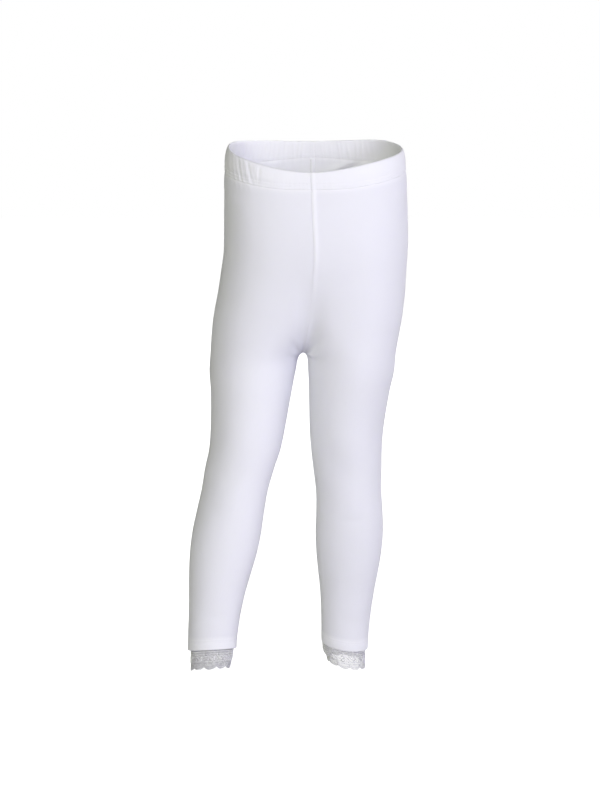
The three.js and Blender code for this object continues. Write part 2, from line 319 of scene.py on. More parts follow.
class Form:
    """The worn garment's surface.

    A turn runs from -1 at the front seam through 0 at the side to 1 at the back seam. Below the crotch both
    ends are the inseam.
    """

    FAR_OUTSIDE = 150.0
    TURNING = 60.0

    def __init__(self) -> None:
        """Takes in the tables of sections and of the stance."""
        self.shape = Table(SHAPE_COLUMNS, SHAPE)
        self.steps = Table(STANCE_COLUMNS, STANCE)
        self.pull = Table(PULL_COLUMNS, FRONT_PULL)

    def section(self, drop: np.ndarray) -> Section:
        """The ovals at each drop."""
        values = [self.shape.read(name, drop) for name in SHAPE_COLUMNS[1:]]
        values[1] = np.maximum(values[1], 0)
        return Section(*values)

    def surface(self, drop: np.ndarray, turn: np.ndarray) -> np.ndarray:
        """Points on the straight garment, on the side where x is positive.

        Args:
            drop: distances below the waist.
            turn: how far round the leg each point lies.

        Returns:
            An array of points, in millimetres.
        """
        drop, turn = np.broadcast_arrays(np.asarray(drop, float), np.asarray(turn, float))
        section = self.section(drop)
        joined = drop < CROTCH
        way = np.where(turn < 0, -1.0, 1.0)
        far = np.full(drop.shape, self.FAR_OUTSIDE)
        seam = np.where(joined, crossing(lambda d: section.outside(0 * d, way * d), far), 0)
        end = np.where(joined, np.arctan2(seam, -section.offset), math.pi)
        near_crotch = 1 - smoothstep(CROTCH - drop, 0, self.TURNING)
        angle = turn * (end + (math.pi - end) * near_crotch * (1 - np.abs(turn) ** 3))
        cos, sin = np.cos(angle), np.sin(angle)
        inward = np.minimum(cos, -1e-9)
        limit = np.where(cos < -1e-9, np.minimum(-section.offset / inward, far), far)
        reach = crossing(lambda d: section.outside(section.offset + d * cos, d * sin), limit)
        at_seam = joined & (np.abs(turn) == 1)
        x = np.where(at_seam, SEAM_CRACK, np.maximum(section.offset + reach * cos, SEAM_CRACK))
        y = np.where(at_seam, way * seam, reach * sin)
        return np.stack([x, y, -drop], axis=-1)

    def stance(self, points: np.ndarray, leg: Leg) -> np.ndarray:
        """Moves points of the straight garment to one leg of the stepping figure, in metres."""
        drop = -points[..., 2]
        ahead = np.maximum(-points[..., 1], 0) / FRONT_REACH
        shift_x = self.steps.read(leg.side.word + "_x", drop) + self.pull.read("x", drop) * ahead**2
        shift_y = self.steps.read(leg.side.word + "_y", drop)
        below = np.maximum(drop - CROTCH, 0)
        z = -(drop - below + below * leg.drawn_up)
        placed = [leg.side.value * points[..., 0] + shift_x, points[..., 1] + shift_y, z]
        return np.stack(placed, axis=-1) * MM


def top_edge(turn: np.ndarray, leg: Leg) -> np.ndarray:
    """The top edge's drop from the level of the waist."""
    to_front = np.cos((turn + 1) * math.pi / 2)
    to_side = np.sin((turn + 1) * math.pi / 2)
    dip = np.where(to_front > 0, FRONT_DIP * to_front**2, -BACK_RISE * (1 - to_side**6))
    return dip - SIDE_RISE - leg.rim.at(turn)


def casing_height(turn: np.ndarray, leg: Leg) -> np.ndarray:
    """How tall the casing is."""
    return CASING + CASING_SIDES * (1 - np.cos((turn + 1) * math.pi / 2) ** 8) + leg.rim.at(turn)


def hem_slant(form: Form, turn: np.ndarray, leg: Leg) -> np.ndarray:
    """How much a hem's drop differs from level."""
    hem = form.section(np.array(HEM))
    forward = -np.sin(turn * math.pi) * np.where(turn < 0, hem.front, hem.back)
    outward = np.cos(turn * math.pi) * hem.half_width
    return leg.hem_inward * outward - leg.hem_forward * forward - leg.hem_raised


def line_drop(form: Form, level: np.ndarray, turn: np.ndarray, leg: Leg) -> np.ndarray:
    """The drop of points on a panel's level lines, which crowd at the crotch and follow both edges."""
    crowded, crowding = 170.0, 1.7
    away = level - CROTCH
    near = np.minimum(np.abs(away) / crowded, 1)
    at_seam = np.where(near < 1, CROTCH + np.sign(away) * crowded * near**crowding, level)
    near_top = 1 - smoothstep(level, CASING + 0.3, CROTCH - 60)
    near_hem = smoothstep(level, CROTCH + 150, HEM)
    under_casing = top_edge(turn, leg) + casing_height(turn, leg) - CASING
    line = level + (at_seam - level) * turn**2
    return line + near_top * under_casing + near_hem * hem_slant(form, turn, leg)


def outward(grid: np.ndarray, closed: np.ndarray) -> np.ndarray:
    """The outward direction at each point of a grid of surface points on the positive side.

    Args:
        grid: rows of points down the garment, each from the front seam to the back seam.
        closed: for each row, whether its two ends are the same seam.

    Returns:
        Unit vectors. On open rows the end ones lie in the seam's plane.
    """
    ahead = np.concatenate([grid[:, 1:], grid[:, -1:]], axis=1)
    behind = np.concatenate([grid[:, :1], grid[:, :-1]], axis=1)
    ahead[closed, -1] = grid[closed, 1]
    behind[closed, 0] = grid[closed, -2]
    above = np.concatenate([grid[:1], grid[:-1]], axis=0)
    below = np.concatenate([grid[1:], grid[-1:]], axis=0)
    direction = np.cross(ahead - behind, above - below)
    ends = direction[:, [0, -1]]
    ends[closed] = ends[closed].mean(axis=1, keepdims=True)
    ends[~closed, :, 0] = 0
    direction[:, [0, -1]] = ends
    return direction / np.maximum(np.linalg.norm(direction, axis=-1, keepdims=True), 1e-12)


def signed_volume(points: np.ndarray, quads: np.ndarray) -> float:
    """Six times the volume that closed quads enclose, positive where they face out."""
    a, b, c, d = (points[quads[:, i]] for i in range(4))
    return float(np.einsum("ij,ij->", a, np.cross(b, c)) + np.einsum("ij,ij->", a, np.cross(c, d)))


def add_object(name: str, data: bpy.types.ID) -> bpy.types.Object:
    """Makes an object of a mesh, a camera or a light and links it to the scene."""
    made = bpy.data.objects.new(name, data)
    bpy.context.scene.collection.objects.link(made)
    return made


def mesh_object(name: str, points: Sequence, edges: Sequence = (), faces: Sequence = ()) -> bpy.types.Object:
    """Makes a mesh object of points, edges and faces."""
    mesh = bpy.data.meshes.new(name)
    mesh.from_pydata(points, edges, faces)
    return add_object(name, mesh)


def smooth_object(
    name: str, points: np.ndarray, faces: np.ndarray, uv: np.ndarray, layers_and_light: np.ndarray
) -> bpy.types.Object:
    """Makes a smooth mesh object.

    Args:
        name: the object's name.
        points: its points in metres.
        faces: the point numbers of each face.
        uv: a place on the flat cloth for each corner, in metres.
        layers_and_light: how double the cloth lies at each point, 1 where it lies double; higher values on
            inner faces are painted light, and on the lace it is each thread's look, low on the net with
            painted shade.

    Returns:
        The new object.
    """
    piece = mesh_object(name, points.tolist(), faces=faces.tolist())
    mesh = piece.data
    mesh.uv_layers.new(name="cloth").data.foreach_set("uv", uv.reshape(-1).astype(np.float32))
    # This attribute carries the cloth's doubling together with painted light on inner faces and painted shade
    # on the lace net.
    mesh.attributes.new("layers_and_light", "FLOAT", "POINT").data.foreach_set("value", layers_and_light.astype(np.float32))
    mesh.polygons.foreach_set("use_smooth", [True] * len(mesh.polygons))
    mesh.update()
    return piece


def lengths_along(grid: np.ndarray, axis: int, zero: int) -> np.ndarray:
    """The distance along the cloth of each grid point from one row or column, in the grid's unit."""
    steps = np.linalg.norm(np.diff(grid, axis=axis), axis=-1)
    pad = [(1, 0), (0, 0)] if axis == 0 else [(0, 0), (1, 0)]
    total = np.cumsum(np.pad(steps, pad), axis=axis)
    return total - np.take(total, [zero], axis=axis)


def wall_object(
    name: str, outer: np.ndarray, inner: np.ndarray, closed: np.ndarray, layers_and_light: np.ndarray
) -> bpy.types.Object:
    """Makes a closed cloth wall between two grids of points, with its faces turned outwards.

    Args:
        name: the object's name.
        outer: the outer face's points in metres, rows down the garment.
        inner: the inner face's points, as many.
        closed: for each row, whether its ends meet.
        layers_and_light: how double the cloth lies at each point of a grid, before the inner face gets its
            painted light.

    Returns:
        The wall as one object.
    """
    rows, columns = outer.shape[:2]
    number = np.arange(rows * columns).reshape(rows, columns)
    inner_number = number + rows * columns
    both = np.stack([number, inner_number])

    def strips(a: np.ndarray, b: np.ndarray, c: np.ndarray, d: np.ndarray) -> np.ndarray:
        return np.stack([a.ravel(), b.ravel(), c.ravel(), d.ravel()], axis=1)

    faces = [
        strips(number[:-1, :-1], number[1:, :-1], number[1:, 1:], number[:-1, 1:]),
        strips(inner_number[:-1, :-1], inner_number[:-1, 1:], inner_number[1:, 1:], inner_number[1:, :-1]),
        strips(number[0, :-1], number[0, 1:], inner_number[0, 1:], inner_number[0, :-1]),
        strips(number[-1, :-1], inner_number[-1, :-1], inner_number[-1, 1:], number[-1, 1:]),
    ]
    open_rows = np.flatnonzero(~(closed[:-1] & closed[1:]))
    for end, turned in ((0, False), (columns - 1, True)):
        here, there = number[:, end], inner_number[:, end]
        quad = strips(here[open_rows], there[open_rows], there[open_rows + 1], here[open_rows + 1])
        faces.append(quad[:, ::-1] if turned else quad)
    quads = np.concatenate(faces)

    across = lengths_along(outer, 1, columns // 2)
    down = lengths_along(outer, 0, 0)
    flat = np.stack([across, down], axis=-1).reshape(-1, 2)
    uv = np.concatenate([flat, flat])[quads]

    welded = both.copy()
    welded[:, closed, -1] = welded[:, closed, 0]
    points = np.concatenate([outer.reshape(-1, 3), inner.reshape(-1, 3)])
    quads = welded.reshape(-1)[quads]
    used, renumbered = np.unique(quads, return_inverse=True)
    # The inner face is made paler as painted light, standing in for the light that reaches the inside of the
    # cloth.
    doubled_and_lit = np.concatenate([layers_and_light.reshape(-1), layers_and_light.reshape(-1) + INSIDE_PAINTED_LIGHT])[used]
    points, quads = points[used], renumbered.reshape(quads.shape)
    if signed_volume(points, quads) < 0:
        quads, uv = quads[:, ::-1], uv[:, ::-1]
    return smooth_object(name, points, quads, uv, doubled_and_lit)


def seam_relief(off: np.ndarray, over_edges: np.ndarray, strength: np.ndarray) -> np.ndarray:
    """The low band over a seam's pressed edges, which lie on one side of it.

    Args:
        off: each point's distance round the cloth from the seam.
        over_edges: whether the edges lie on the point's side.
        strength: how much the band shows.

    Returns:
        The height of the cloth.
    """
    groove = -GROOVE_DEPTH * np.exp(-((off / GROOVE_WIDTH) ** 2))
    band = BAND_HEIGHT * smoothstep(off, *BAND_RISE) * (1 - smoothstep(off, *BAND_FALL))
    return groove + np.where(over_edges, band, 0.0) * strength


@dataclass(frozen=True)
class Crease:
    """A soft trough or ridge laid on a panel.

    turn and drop are its middle, lean its slope in degrees from level, height its depth, negative for a
    trough, and bend how far its ends curl down.
    """

    turn: float
    drop: float
    length: float
    width: float
    lean: float
    height: float
    bend: float

    def raise_at(self, across: np.ndarray, down: np.ndarray, middle: tuple[float, float]) -> np.ndarray:
        """The crease's height over the cloth.

        Args:
            across: each point's distance round the cloth from the side.
            down: each point's distance down the cloth.
            middle: the crease's own two distances.

        Returns:
            The height at each point.
        """
        x, y = across - middle[0], down - middle[1]
        angle = math.radians(self.lean)
        along = x * math.cos(angle) + y * math.sin(angle)
        off = -x * math.sin(angle) + y * math.cos(angle) - self.bend * (along / self.length) ** 2
        reach = np.clip(1 - (2 * along / self.length) ** 2, 0, 1) ** 1.5
        return self.height * reach * np.exp(-((off / self.width) ** 2))


# Creases, most of them where the cloth bends at the crotch, the knees and the ankles. Each row is turn,
# drop, length, width, lean, height and bend.
CREASE_ROWS = {
    Side.LEFT: (
        (-0.92, 172, 96, 11, -86, -1.5, 3),
        (-0.86, 188, 62, 9, -48, -1.6, 6),
        (-0.80, 205, 50, 7, -40, 0.8, 5),
        (-0.90, 222, 46, 8, -30, -1.1, 4),
        (-0.50, 340, 62, 13, -3, -1.3, 4),
        (-0.52, 306, 56, 16, 0, 0.9, 0),
        (-0.48, 384, 46, 6, 3, -0.6, 3),
        (-0.40, 498, 40, 6, 5, -0.6, 2),
        (0.74, 196, 88, 10, 24, -2.2, -10),
        (0.78, 214, 78, 8, 20, 1.0, -8),
        (0.80, 232, 66, 8, 12, -1.5, -6),
        (0.52, 338, 70, 5, 5, -1.7, 5),
        (0.50, 350, 78, 5, 1, 0.9, 4),
        (0.48, 361, 68, 5, -5, -1.6, 3),
        (0.55, 374, 50, 5, -9, -0.9, 3),
        (0.50, 494, 52, 5, 3, -1.0, 3),
        (0.46, 504, 46, 4, -3, 0.5, 2),
        (0.80, 27, 46, 3.6, 24, -2.6, 3),
        (0.74, 30, 44, 4.2, 34, 2.4, 3),
        (0.60, 25, 38, 3.8, 44, -2.4, 2),
        (0.54, 30, 40, 4.4, 40, 2.2, 2),
        (0.44, 26, 36, 4.0, 50, -1.8, 2),
        (-0.25, 70, 64, 15, -66, -0.6, 4),
    ),
    Side.RIGHT: (
        (-0.93, 196, 60, 9, -84, 1.3, 3),
        (-0.88, 192, 56, 8, -46, -1.1, 5),
        (-0.84, 214, 48, 7, -36, -0.8, 4),
        (-0.35, 336, 66, 13, 4, -1.3, 5),
        (-0.45, 300, 60, 16, 0, 1.0, 0),
        (-0.30, 372, 52, 9, -6, -0.6, 3),
        (-0.50, 496, 42, 6, -4, -0.6, 2),
        (-0.20, 508, 36, 5, 6, 0.45, 2),
        (0.72, 192, 92, 10, 26, -2.4, -10),
        (0.76, 212, 80, 8, 22, 1.1, -8),
        (0.80, 230, 70, 8, 14, -1.6, -6),
        (0.50, 334, 76, 6, 7, -2.0, 5),
        (0.48, 347, 80, 5, 2, 1.0, 4),
        (0.50, 358, 74, 5, -4, -1.9, 4),
        (0.44, 372, 56, 5, -9, -1.1, 3),
        (0.50, 490, 54, 5, -3, -1.1, 3),
        (0.54, 502, 44, 4, 4, 0.5, 2),
        (0.62, 28, 34, 4.5, -50, -1.0, 2),
        (0.48, 30, 36, 4.8, -46, 0.9, 2),
        (-0.28, 64, 60, 14, 68, -0.7, 4),
    ),
}
CREASES = {side: tuple(Crease(*row) for row in rows) for side, rows in CREASE_ROWS.items()}


class Gathers:
    """The uneven puckers that the elastic draws into the cloth.

    Each is a narrow trough, some of them leaning, with the cloth domed softly between them. Over the right hip
    bone lie a few sharper folds that lean the same way.
    """

    PER_SIDE = 2 * GATHERS_EACH_SIDE
    FOLDED = slice(12, 19)
    FOLD_DEPTHS = (0.5, 0.8, 0.45, 0.9, 0.5, 0.75, 0.3)
    FOLD_LEANS = (1.3, 0.9)
    FOLD_TURN = -0.46
    FOLD_REACH = 0.13
    FOLD_STRENGTH = 0.75
    BEHIND_STRENGTH = 0.42
    DOME = 0.22
    DEPTH = 0.9
    FADE_BELOW = 8.0

    def __init__(self, side: Side) -> None:
        """Draws each gather's depth, width and lean, always the same for a side."""
        draw = np.random.default_rng(7 + side.value)
        count = self.PER_SIDE + 1
        self.side = side
        self.strength = draw.uniform(0.05, 0.9, count)
        self.width = draw.uniform(0.2, 0.36, count)
        self.lean = draw.uniform(-0.4, 0.4, count)
        self.place = draw.uniform(-0.25, 0.25, count)
        if side is Side.RIGHT:
            self.strength[self.FOLDED] = self.FOLD_DEPTHS
            self.lean[self.FOLDED] = np.linspace(*self.FOLD_LEANS, len(self.FOLD_DEPTHS))

    def strength_at(self, turn: np.ndarray) -> np.ndarray:
        """How gathered the cloth is: least in front, most over the right hip bone, and soft behind."""
        behind = self.BEHIND_STRENGTH * smoothstep(turn, 0.1, 0.5)
        if self.side is Side.RIGHT:
            folded = self.FOLD_STRENGTH * np.exp(-(((turn - self.FOLD_TURN) / self.FOLD_REACH) ** 2))
            return 0.16 + 0.16 * smoothstep(turn, -0.75, -0.45) + folded + behind
        return 0.07 + 0.25 * smoothstep(turn, -0.4, -0.1) + behind

    def height(self, turn: np.ndarray, below_edge: np.ndarray, tall: np.ndarray) -> np.ndarray:
        """The gathers' height.

        Args:
            turn: how far round each point lies.
            below_edge: how far it is below the casing's lower edge, negative on the casing.
            tall: the casing's height there.

        Returns:
            The height above and below the plain cloth.
        """
        turn, below_edge, tall = np.broadcast_arrays(turn, below_edge, tall)
        down = 1 + below_edge / tall
        phase = (turn + 1) / 2 * self.PER_SIDE - 1.2 * np.sin(turn * math.pi)
        nearest = np.round(phase).astype(int)
        troughs = np.zeros(turn.shape)
        for step in (-2, -1, 0, 1, 2):
            number = np.clip(nearest + step, 0, self.PER_SIDE)
            off = phase + self.lean[number] * (down - 0.5) - self.place[number] - (nearest + step)
            troughs += self.strength[number] * np.exp(-((off / self.width[number]) ** 2))
        fine = 0.04 * np.cos(phase * 1.9 * 2 * math.pi + 1.3) + 0.03 * np.cos(phase * 2.7 * 2 * math.pi)
        on_casing = 0.6 + 0.4 * np.sin(np.clip(down, 0, 1) * math.pi)
        below = 0.6 * np.exp(-((np.maximum(below_edge, 0) / self.FADE_BELOW) ** 2))
        ends = smoothstep(1 - np.abs(turn), 0.0, 0.05)
        shape = np.where(below_edge < 0, on_casing, below)
        return self.DEPTH * ends * self.strength_at(turn) * shape * (self.DOME - troughs + fine)


class LegPanel:
    """One leg of the leggings: a jersey panel from under the casing to its turned hem.

    The steps are the lines next to each edge, and the roundings are how far the cloth draws in on them. The
    rise seam's band shows in full at the waist, and fades between two levels to a small share. The cloth dips
    a little below the casing, draws in under it, stands out over the turned hem and dips at its stitches.
    """

    TUCKED = 1.8
    EDGE_STEPS = (0, 0.25, 0.7)
    TOP_ROUNDING = (0.5, 0.14, 0.02)
    HEM_ROUNDING = (0.02, 0.22, 0.8)
    BAND_FADES = (45, 125)
    BAND_LEFT = 0.1
    DIP_BELOW_CASING = 0.3
    UNDER_CASING = 0.7
    HEM_STANDS_OUT = 0.28
    DIP_AT_STITCHES = 0.22
    UNCREASED_AT_SEAM = 7.0
    ROWS_ABOVE = 104
    ROWS_BELOW = 150
    COLUMNS = 138
    SEAM_COLUMNS = (0.35, 0.8, 1.3, 1.9, 2.6, 3.4, 4.3, 5.4)
    HALF_GIRTH_HIP = 142.0

    def __init__(self, form: Form, leg: Leg) -> None:
        """Keeps the form and the leg that the panel covers."""
        self.form = form
        self.leg = leg
        self.gathers = Gathers(leg.side)

    def levels(self) -> np.ndarray:
        """The panel's level lines, close together at both edges."""
        top = CASING - self.TUCKED
        edge = np.array(self.EDGE_STEPS)
        above = np.linspace(top + 1.2, CROTCH, self.ROWS_ABOVE)
        below = np.linspace(CROTCH, HEM - HEM_TURN - 1, self.ROWS_BELOW)[1:]
        turned = np.linspace(HEM - HEM_TURN, HEM - 1.6, 9)
        return np.concatenate([top + edge, above, below, turned, HEM - edge[::-1]])

    def turns(self) -> np.ndarray:
        """The panel's columns, close together at the seam."""
        near = np.array((0.0,) + self.SEAM_COLUMNS) / self.HALF_GIRTH_HIP
        middle = np.linspace(-1 + near[-1] + 0.012, 1 - near[-1] - 0.012, self.COLUMNS)
        return np.concatenate([-1 + near, middle, (1 - near)[::-1]])

    def folds(self, across: np.ndarray, level: np.ndarray, turn: np.ndarray, off: np.ndarray) -> np.ndarray:
        """The creases' height.

        Args:
            across: each point's distance round the cloth from the side.
            level: its level line.
            turn: how far round it lies.
            off: its distance from the seam.

        Returns:
            The height, which fades out at the seam and at both edges.
        """
        height = np.zeros_like(across)
        for crease in CREASES[self.leg.side]:
            row = int(np.argmin(np.abs(level[:, 0] - crease.drop)))
            column = int(np.argmin(np.abs(turn[0] - crease.turn)))
            height += crease.raise_at(across, level, (across[row, column], crease.drop))
        from_casing = smoothstep(level, CASING - 1, CASING + 3)
        from_hem = 1 - smoothstep(level, HEM - HEM_TURN - 4, HEM - HEM_TURN)
        return height * smoothstep(off, 0.0, self.UNCREASED_AT_SEAM) * from_casing * from_hem

    def relief(
        self, grid: np.ndarray, level: np.ndarray, turn: np.ndarray
    ) -> tuple[np.ndarray, np.ndarray, np.ndarray]:
        """What stands on the plain form.

        Args:
            grid: the plain form's points.
            level: each point's level line.
            turn: how far round it lies.

        Returns:
            The height of the folds, the height that the outer face alone has, and how double the cloth lies.
        """
        across = lengths_along(grid, 1, int(np.argmin(np.abs(turn[0]))))
        off = np.where(turn < 0, -across[:, :1], across[:, -1:]) - np.abs(across)
        fade = self.BAND_LEFT + (1 - self.BAND_LEFT) * (1 - smoothstep(level, *self.BAND_FADES))
        over_edges = np.where(level < CROTCH, (turn > 0) == (self.leg.side is Side.RIGHT), turn > 0)
        under = level - CASING
        from_hem = HEM - level
        puckers = self.gathers.height(turn, under, casing_height(turn, self.leg))
        settled = -self.DIP_BELOW_CASING * np.exp(-(((under - 1.5) / 3.0) ** 2))
        tucked = -self.UNDER_CASING * (1 - smoothstep(under, -0.2, 0.6))
        hem = self.HEM_STANDS_OUT * (1 - smoothstep(from_hem, HEM_TURN - 1.5, HEM_TURN + 1.5))
        rows = sum(np.exp(-(((from_hem - row) / 0.8) ** 2)) for row in HemStitches.ROWS)
        sewn = -self.DIP_AT_STITCHES * rows
        band = smoothstep(off, 0.2, 1.0) * (1 - smoothstep(off, 4.5, 6.0)) * fade
        at_waist = 1 - smoothstep(under, 0.0, 5.0)
        at_hem = 1 - smoothstep(from_hem, HEM_TURN - 1, HEM_TURN + 3)
        folds = self.folds(across, level, turn, off) + puckers + settled
        outside = seam_relief(off, over_edges, fade) + tucked + hem + sewn
        layers_and_light = np.maximum(np.maximum(at_waist, at_hem), np.where(over_edges, band, 0))
        return folds, outside, layers_and_light

    def build(self, material: bpy.types.Material) -> bpy.types.Object:
        """Makes the panel.

        Args:
            material: the cloth.

        Returns:
            The panel as one closed shell.
        """
        levels, turns = self.levels(), self.turns()
        level, turn = np.meshgrid(levels, turns, indexing="ij")
        grid = self.form.surface(line_drop(self.form, level, turn, self.leg), turn)
        closed = levels >= CROTCH
        direction = outward(grid, closed)
        folds, outside, layers_and_light = self.relief(grid, level, turn)
        edge_in = np.zeros(len(levels))
        edge_in[:3] = self.TOP_ROUNDING
        edge_in[-3:] = self.HEM_ROUNDING
        turned = levels > HEM - HEM_TURN - 0.5
        wall = np.where(turned, HEM_LAYERS, JERSEY) - edge_in * np.where(turned, 1.1, 1.0)
        outer = grid + direction * (folds + outside - edge_in[:, None])[..., None]
        inner = grid + direction * (folds - wall[:, None])[..., None]
        placed = [self.form.stance(face, self.leg) for face in (outer, inner)]
        piece = wall_object("leg_panel_" + self.leg.side.word, *placed, closed, layers_and_light)
        piece.data.materials.append(material)
        return piece


class WaistCasing:
    """Half of the elastic casing: the panel's top edge, turned in over the elastic and gathered.

    Both faces are given as stations of drop, as a share of the height, and depth. Stations deeper than the
    middle have the inner cloth's softer puckers.
    """

    COLUMNS = 420
    MIDDLE_DEPTH = 1.4
    SEAM_STRENGTH = 0.8
    INNER_PUCKERS = 0.7
    OUTER = (
        (0.0, 1.25), (0.012, 0.70), (0.04, 0.22), (0.09, -0.08), (0.20, -0.30), (0.40, -0.40), (0.58, -0.38),
        (0.70, -0.20), (0.76, 0.12), (0.82, 0.10), (0.88, 0.16), (0.92, 0.30), (0.96, 0.24), (1.0, 0.28),
        (1.03, 0.52),
    )
    INNER = (
        (0.0, 1.45), (0.012, 1.90), (0.04, 2.20), (0.09, 2.35), (0.20, 2.45), (0.40, 2.50), (0.58, 2.45),
        (0.70, 2.30), (0.76, 2.10), (0.82, 2.12), (0.88, 2.00), (0.92, 1.95), (0.96, 1.85), (1.0, 1.62),
        (1.03, 1.05),
    )

    def __init__(self, form: Form, leg: Leg) -> None:
        """Keeps the form and the side that the half covers."""
        self.form = form
        self.leg = leg
        self.gathers = Gathers(leg.side)

    def face(self, stations: tuple[tuple[float, float], ...], turns: np.ndarray) -> np.ndarray:
        """The points of one face."""
        down, depth = np.array(stations).T[..., None]
        tall = casing_height(turns, self.leg)
        below_edge = (down - 1) * tall
        grid = self.form.surface(top_edge(turns, self.leg) + tall + below_edge, turns + 0 * down)
        direction = outward(grid, np.zeros(len(stations), bool))
        off = (1 - np.abs(turns)) * LegPanel.HALF_GIRTH_HIP
        over_edges = (turns > 0) == (self.leg.side is Side.RIGHT)
        seam = seam_relief(off, over_edges, np.full(off.shape, self.SEAM_STRENGTH))
        puckers = self.gathers.height(turns, below_edge, tall)
        inner = depth > self.MIDDLE_DEPTH
        raised = np.where(inner, self.INNER_PUCKERS * puckers - 0.5 * seam, puckers + seam)
        return self.form.stance(grid + direction * (raised - depth)[..., None], self.leg)

    def build(self, material: bpy.types.Material) -> bpy.types.Object:
        """Makes the half as one closed shell in its cloth."""
        turns = np.linspace(-1, 1, self.COLUMNS)
        outer, inner = (self.face(stations, turns) for stations in (self.OUTER, self.INNER))
        closed = np.zeros(len(self.OUTER), bool)
        # The casing lies double all over; wall_object adds painted light to its inner face.
        doubled_and_lit = np.ones((len(self.OUTER), self.COLUMNS))
        piece = wall_object("waist_casing_" + self.leg.side.word, outer, inner, closed, doubled_and_lit)
        piece.data.materials.append(material)
        return piece


class SeamAllowance:
    """The overlocked edges of a seam, which lie flat against the inside of the cloth on one side of it.

    The half girths turn a distance from the seam into a share of a turn at each level.
    """

    FROM_SEAM = 0.5
    WIDTH = 5.5
    THICK = 1.3
    UNDER_CLOTH = 0.05
    RIPPLE = 0.18
    GIRTH_LEVELS = (0, 200, 212, 300, 400, HEM)
    HALF_GIRTHS = (142, 132, 150, 128, 118, 82)
    ACROSS = (0.0, 0.06, 0.2, 0.5, 0.8, 0.94, 1.0)

    def __init__(self, name: str, form: Form, leg: Leg, end: int, span: tuple[float, float]) -> None:
        """Says where the seam runs.

        Args:
            name: the piece's name.
            form: the garment's form.
            leg: the leg on whose side the edges lie.
            end: -1 along the front end of the panel's lines and 1 along the back end.
            span: the level lines where it starts and stops.
        """
        self.name = name
        self.form = form
        self.leg = leg
        self.end = end
        self.span = span

    def grid(self, levels: np.ndarray, off: np.ndarray, depth: np.ndarray) -> np.ndarray:
        """Points at a distance from the seam and a depth below the cloth's outer face."""
        half = np.interp(levels, self.GIRTH_LEVELS, self.HALF_GIRTHS)
        turn = self.end * (1 - off[None, :] / half[:, None])
        level = np.broadcast_to(levels[:, None], turn.shape)
        drop = line_drop(self.form, level, turn, self.leg)
        points = self.form.surface(drop, turn)
        direction = outward(points, np.zeros(len(levels), bool))
        direction[:, :1] = direction[:, 1:2]
        direction[:, -1:] = direction[:, -2:-1]
        if self.end > 0:
            direction = -direction
        return points - direction * depth[..., None]

    def build(self, material: bpy.types.Material) -> bpy.types.Object:
        """Makes the allowance as a thin closed strip in its cloth."""
        levels = np.arange(self.span[0], self.span[1], 2.0)
        across = np.array(self.ACROSS)
        off = self.FROM_SEAM + across * self.WIDTH
        rounded = 1 - np.abs(across * 2 - 1) ** 6 * 0.8
        ripple = self.RIPPLE * np.sin(levels / 2.1)[:, None] * across[None, :]
        near = np.full(ripple.shape, JERSEY + self.UNDER_CLOTH)
        far = near + self.THICK * rounded[None, :] + ripple
        faces = [self.form.stance(self.grid(levels, off, depth), self.leg) for depth in (near, far)]
        piece = wall_object(self.name, *faces, np.zeros(len(levels), bool), np.full(near.shape, 0.5))
        piece.data.materials.append(material)
        return piece


@dataclass
class StitchPoints:
    """Where stitches of one row lie, the way each one runs and the way out of the cloth."""

    places: list[np.ndarray] = field(default_factory=list)
    along: list[np.ndarray] = field(default_factory=list)
    out: list[np.ndarray] = field(default_factory=list)

    def add_line(self, line: np.ndarray, out: np.ndarray, spacing: float, slant: float = 0.0) -> None:
        """Spaces stitches evenly along a line.

        Args:
            line: the line's points in metres.
            out: the outward direction at each point.
            spacing: the distance from stitch to stitch in millimetres.
            slant: how far each stitch turns from the line, in degrees, one way and the other in turn.
        """
        steps = np.linalg.norm(np.diff(line, axis=0), axis=1)
        at = np.concatenate([[0], np.cumsum(steps)])
        count = max(int(at[-1] / (spacing * MM)), 1)
        wanted = (np.arange(count) + 0.5) * at[-1] / count
        place = np.stack([np.interp(wanted, at, line[:, i]) for i in range(3)], axis=1)
        ahead = np.stack([np.interp(wanted + 0.4 * MM, at, line[:, i]) for i in range(3)], axis=1)
        normal = np.stack([np.interp(wanted, at, out[:, i]) for i in range(3)], axis=1)
        way = ahead - place
        way /= np.maximum(np.linalg.norm(way, axis=1, keepdims=True), 1e-12)
        if slant:
            angle = np.radians(slant) * np.where(np.arange(count) % 2, 1, -1)[:, None]
            way = way * np.cos(angle) + np.cross(normal, way) * np.sin(angle)
        self.places.append(place)
        self.along.append(way)
        self.out.append(normal)

    def object(self, name: str) -> bpy.types.Object:
        """Makes a mesh of single points that carry both directions."""
        piece = mesh_object(name, np.concatenate(self.places).tolist())
        for label, values in (("along", self.along), ("out", self.out)):
            attribute = piece.data.attributes.new(label, "FLOAT_VECTOR", "POINT")
            attribute.data.foreach_set("vector", np.concatenate(values).reshape(-1).astype(np.float32))
        return piece


def add_node(
    tree: bpy.types.NodeTree, kind: str, inputs: dict[str | int, object] | None = None, **settings: object
) -> bpy.types.Node:
    """Adds a node to a tree.

    Args:
        tree: the tree.
        kind: the node's type.
        inputs: values for some of its inputs.
        settings: values for some of its own properties, which are set first.

    Returns:
        The node.
    """
    made = tree.nodes.new(kind)
    for label, value in settings.items():
        setattr(made, label, value)
    for label, value in (inputs or {}).items():
        made.inputs[label].default_value = value
    return made


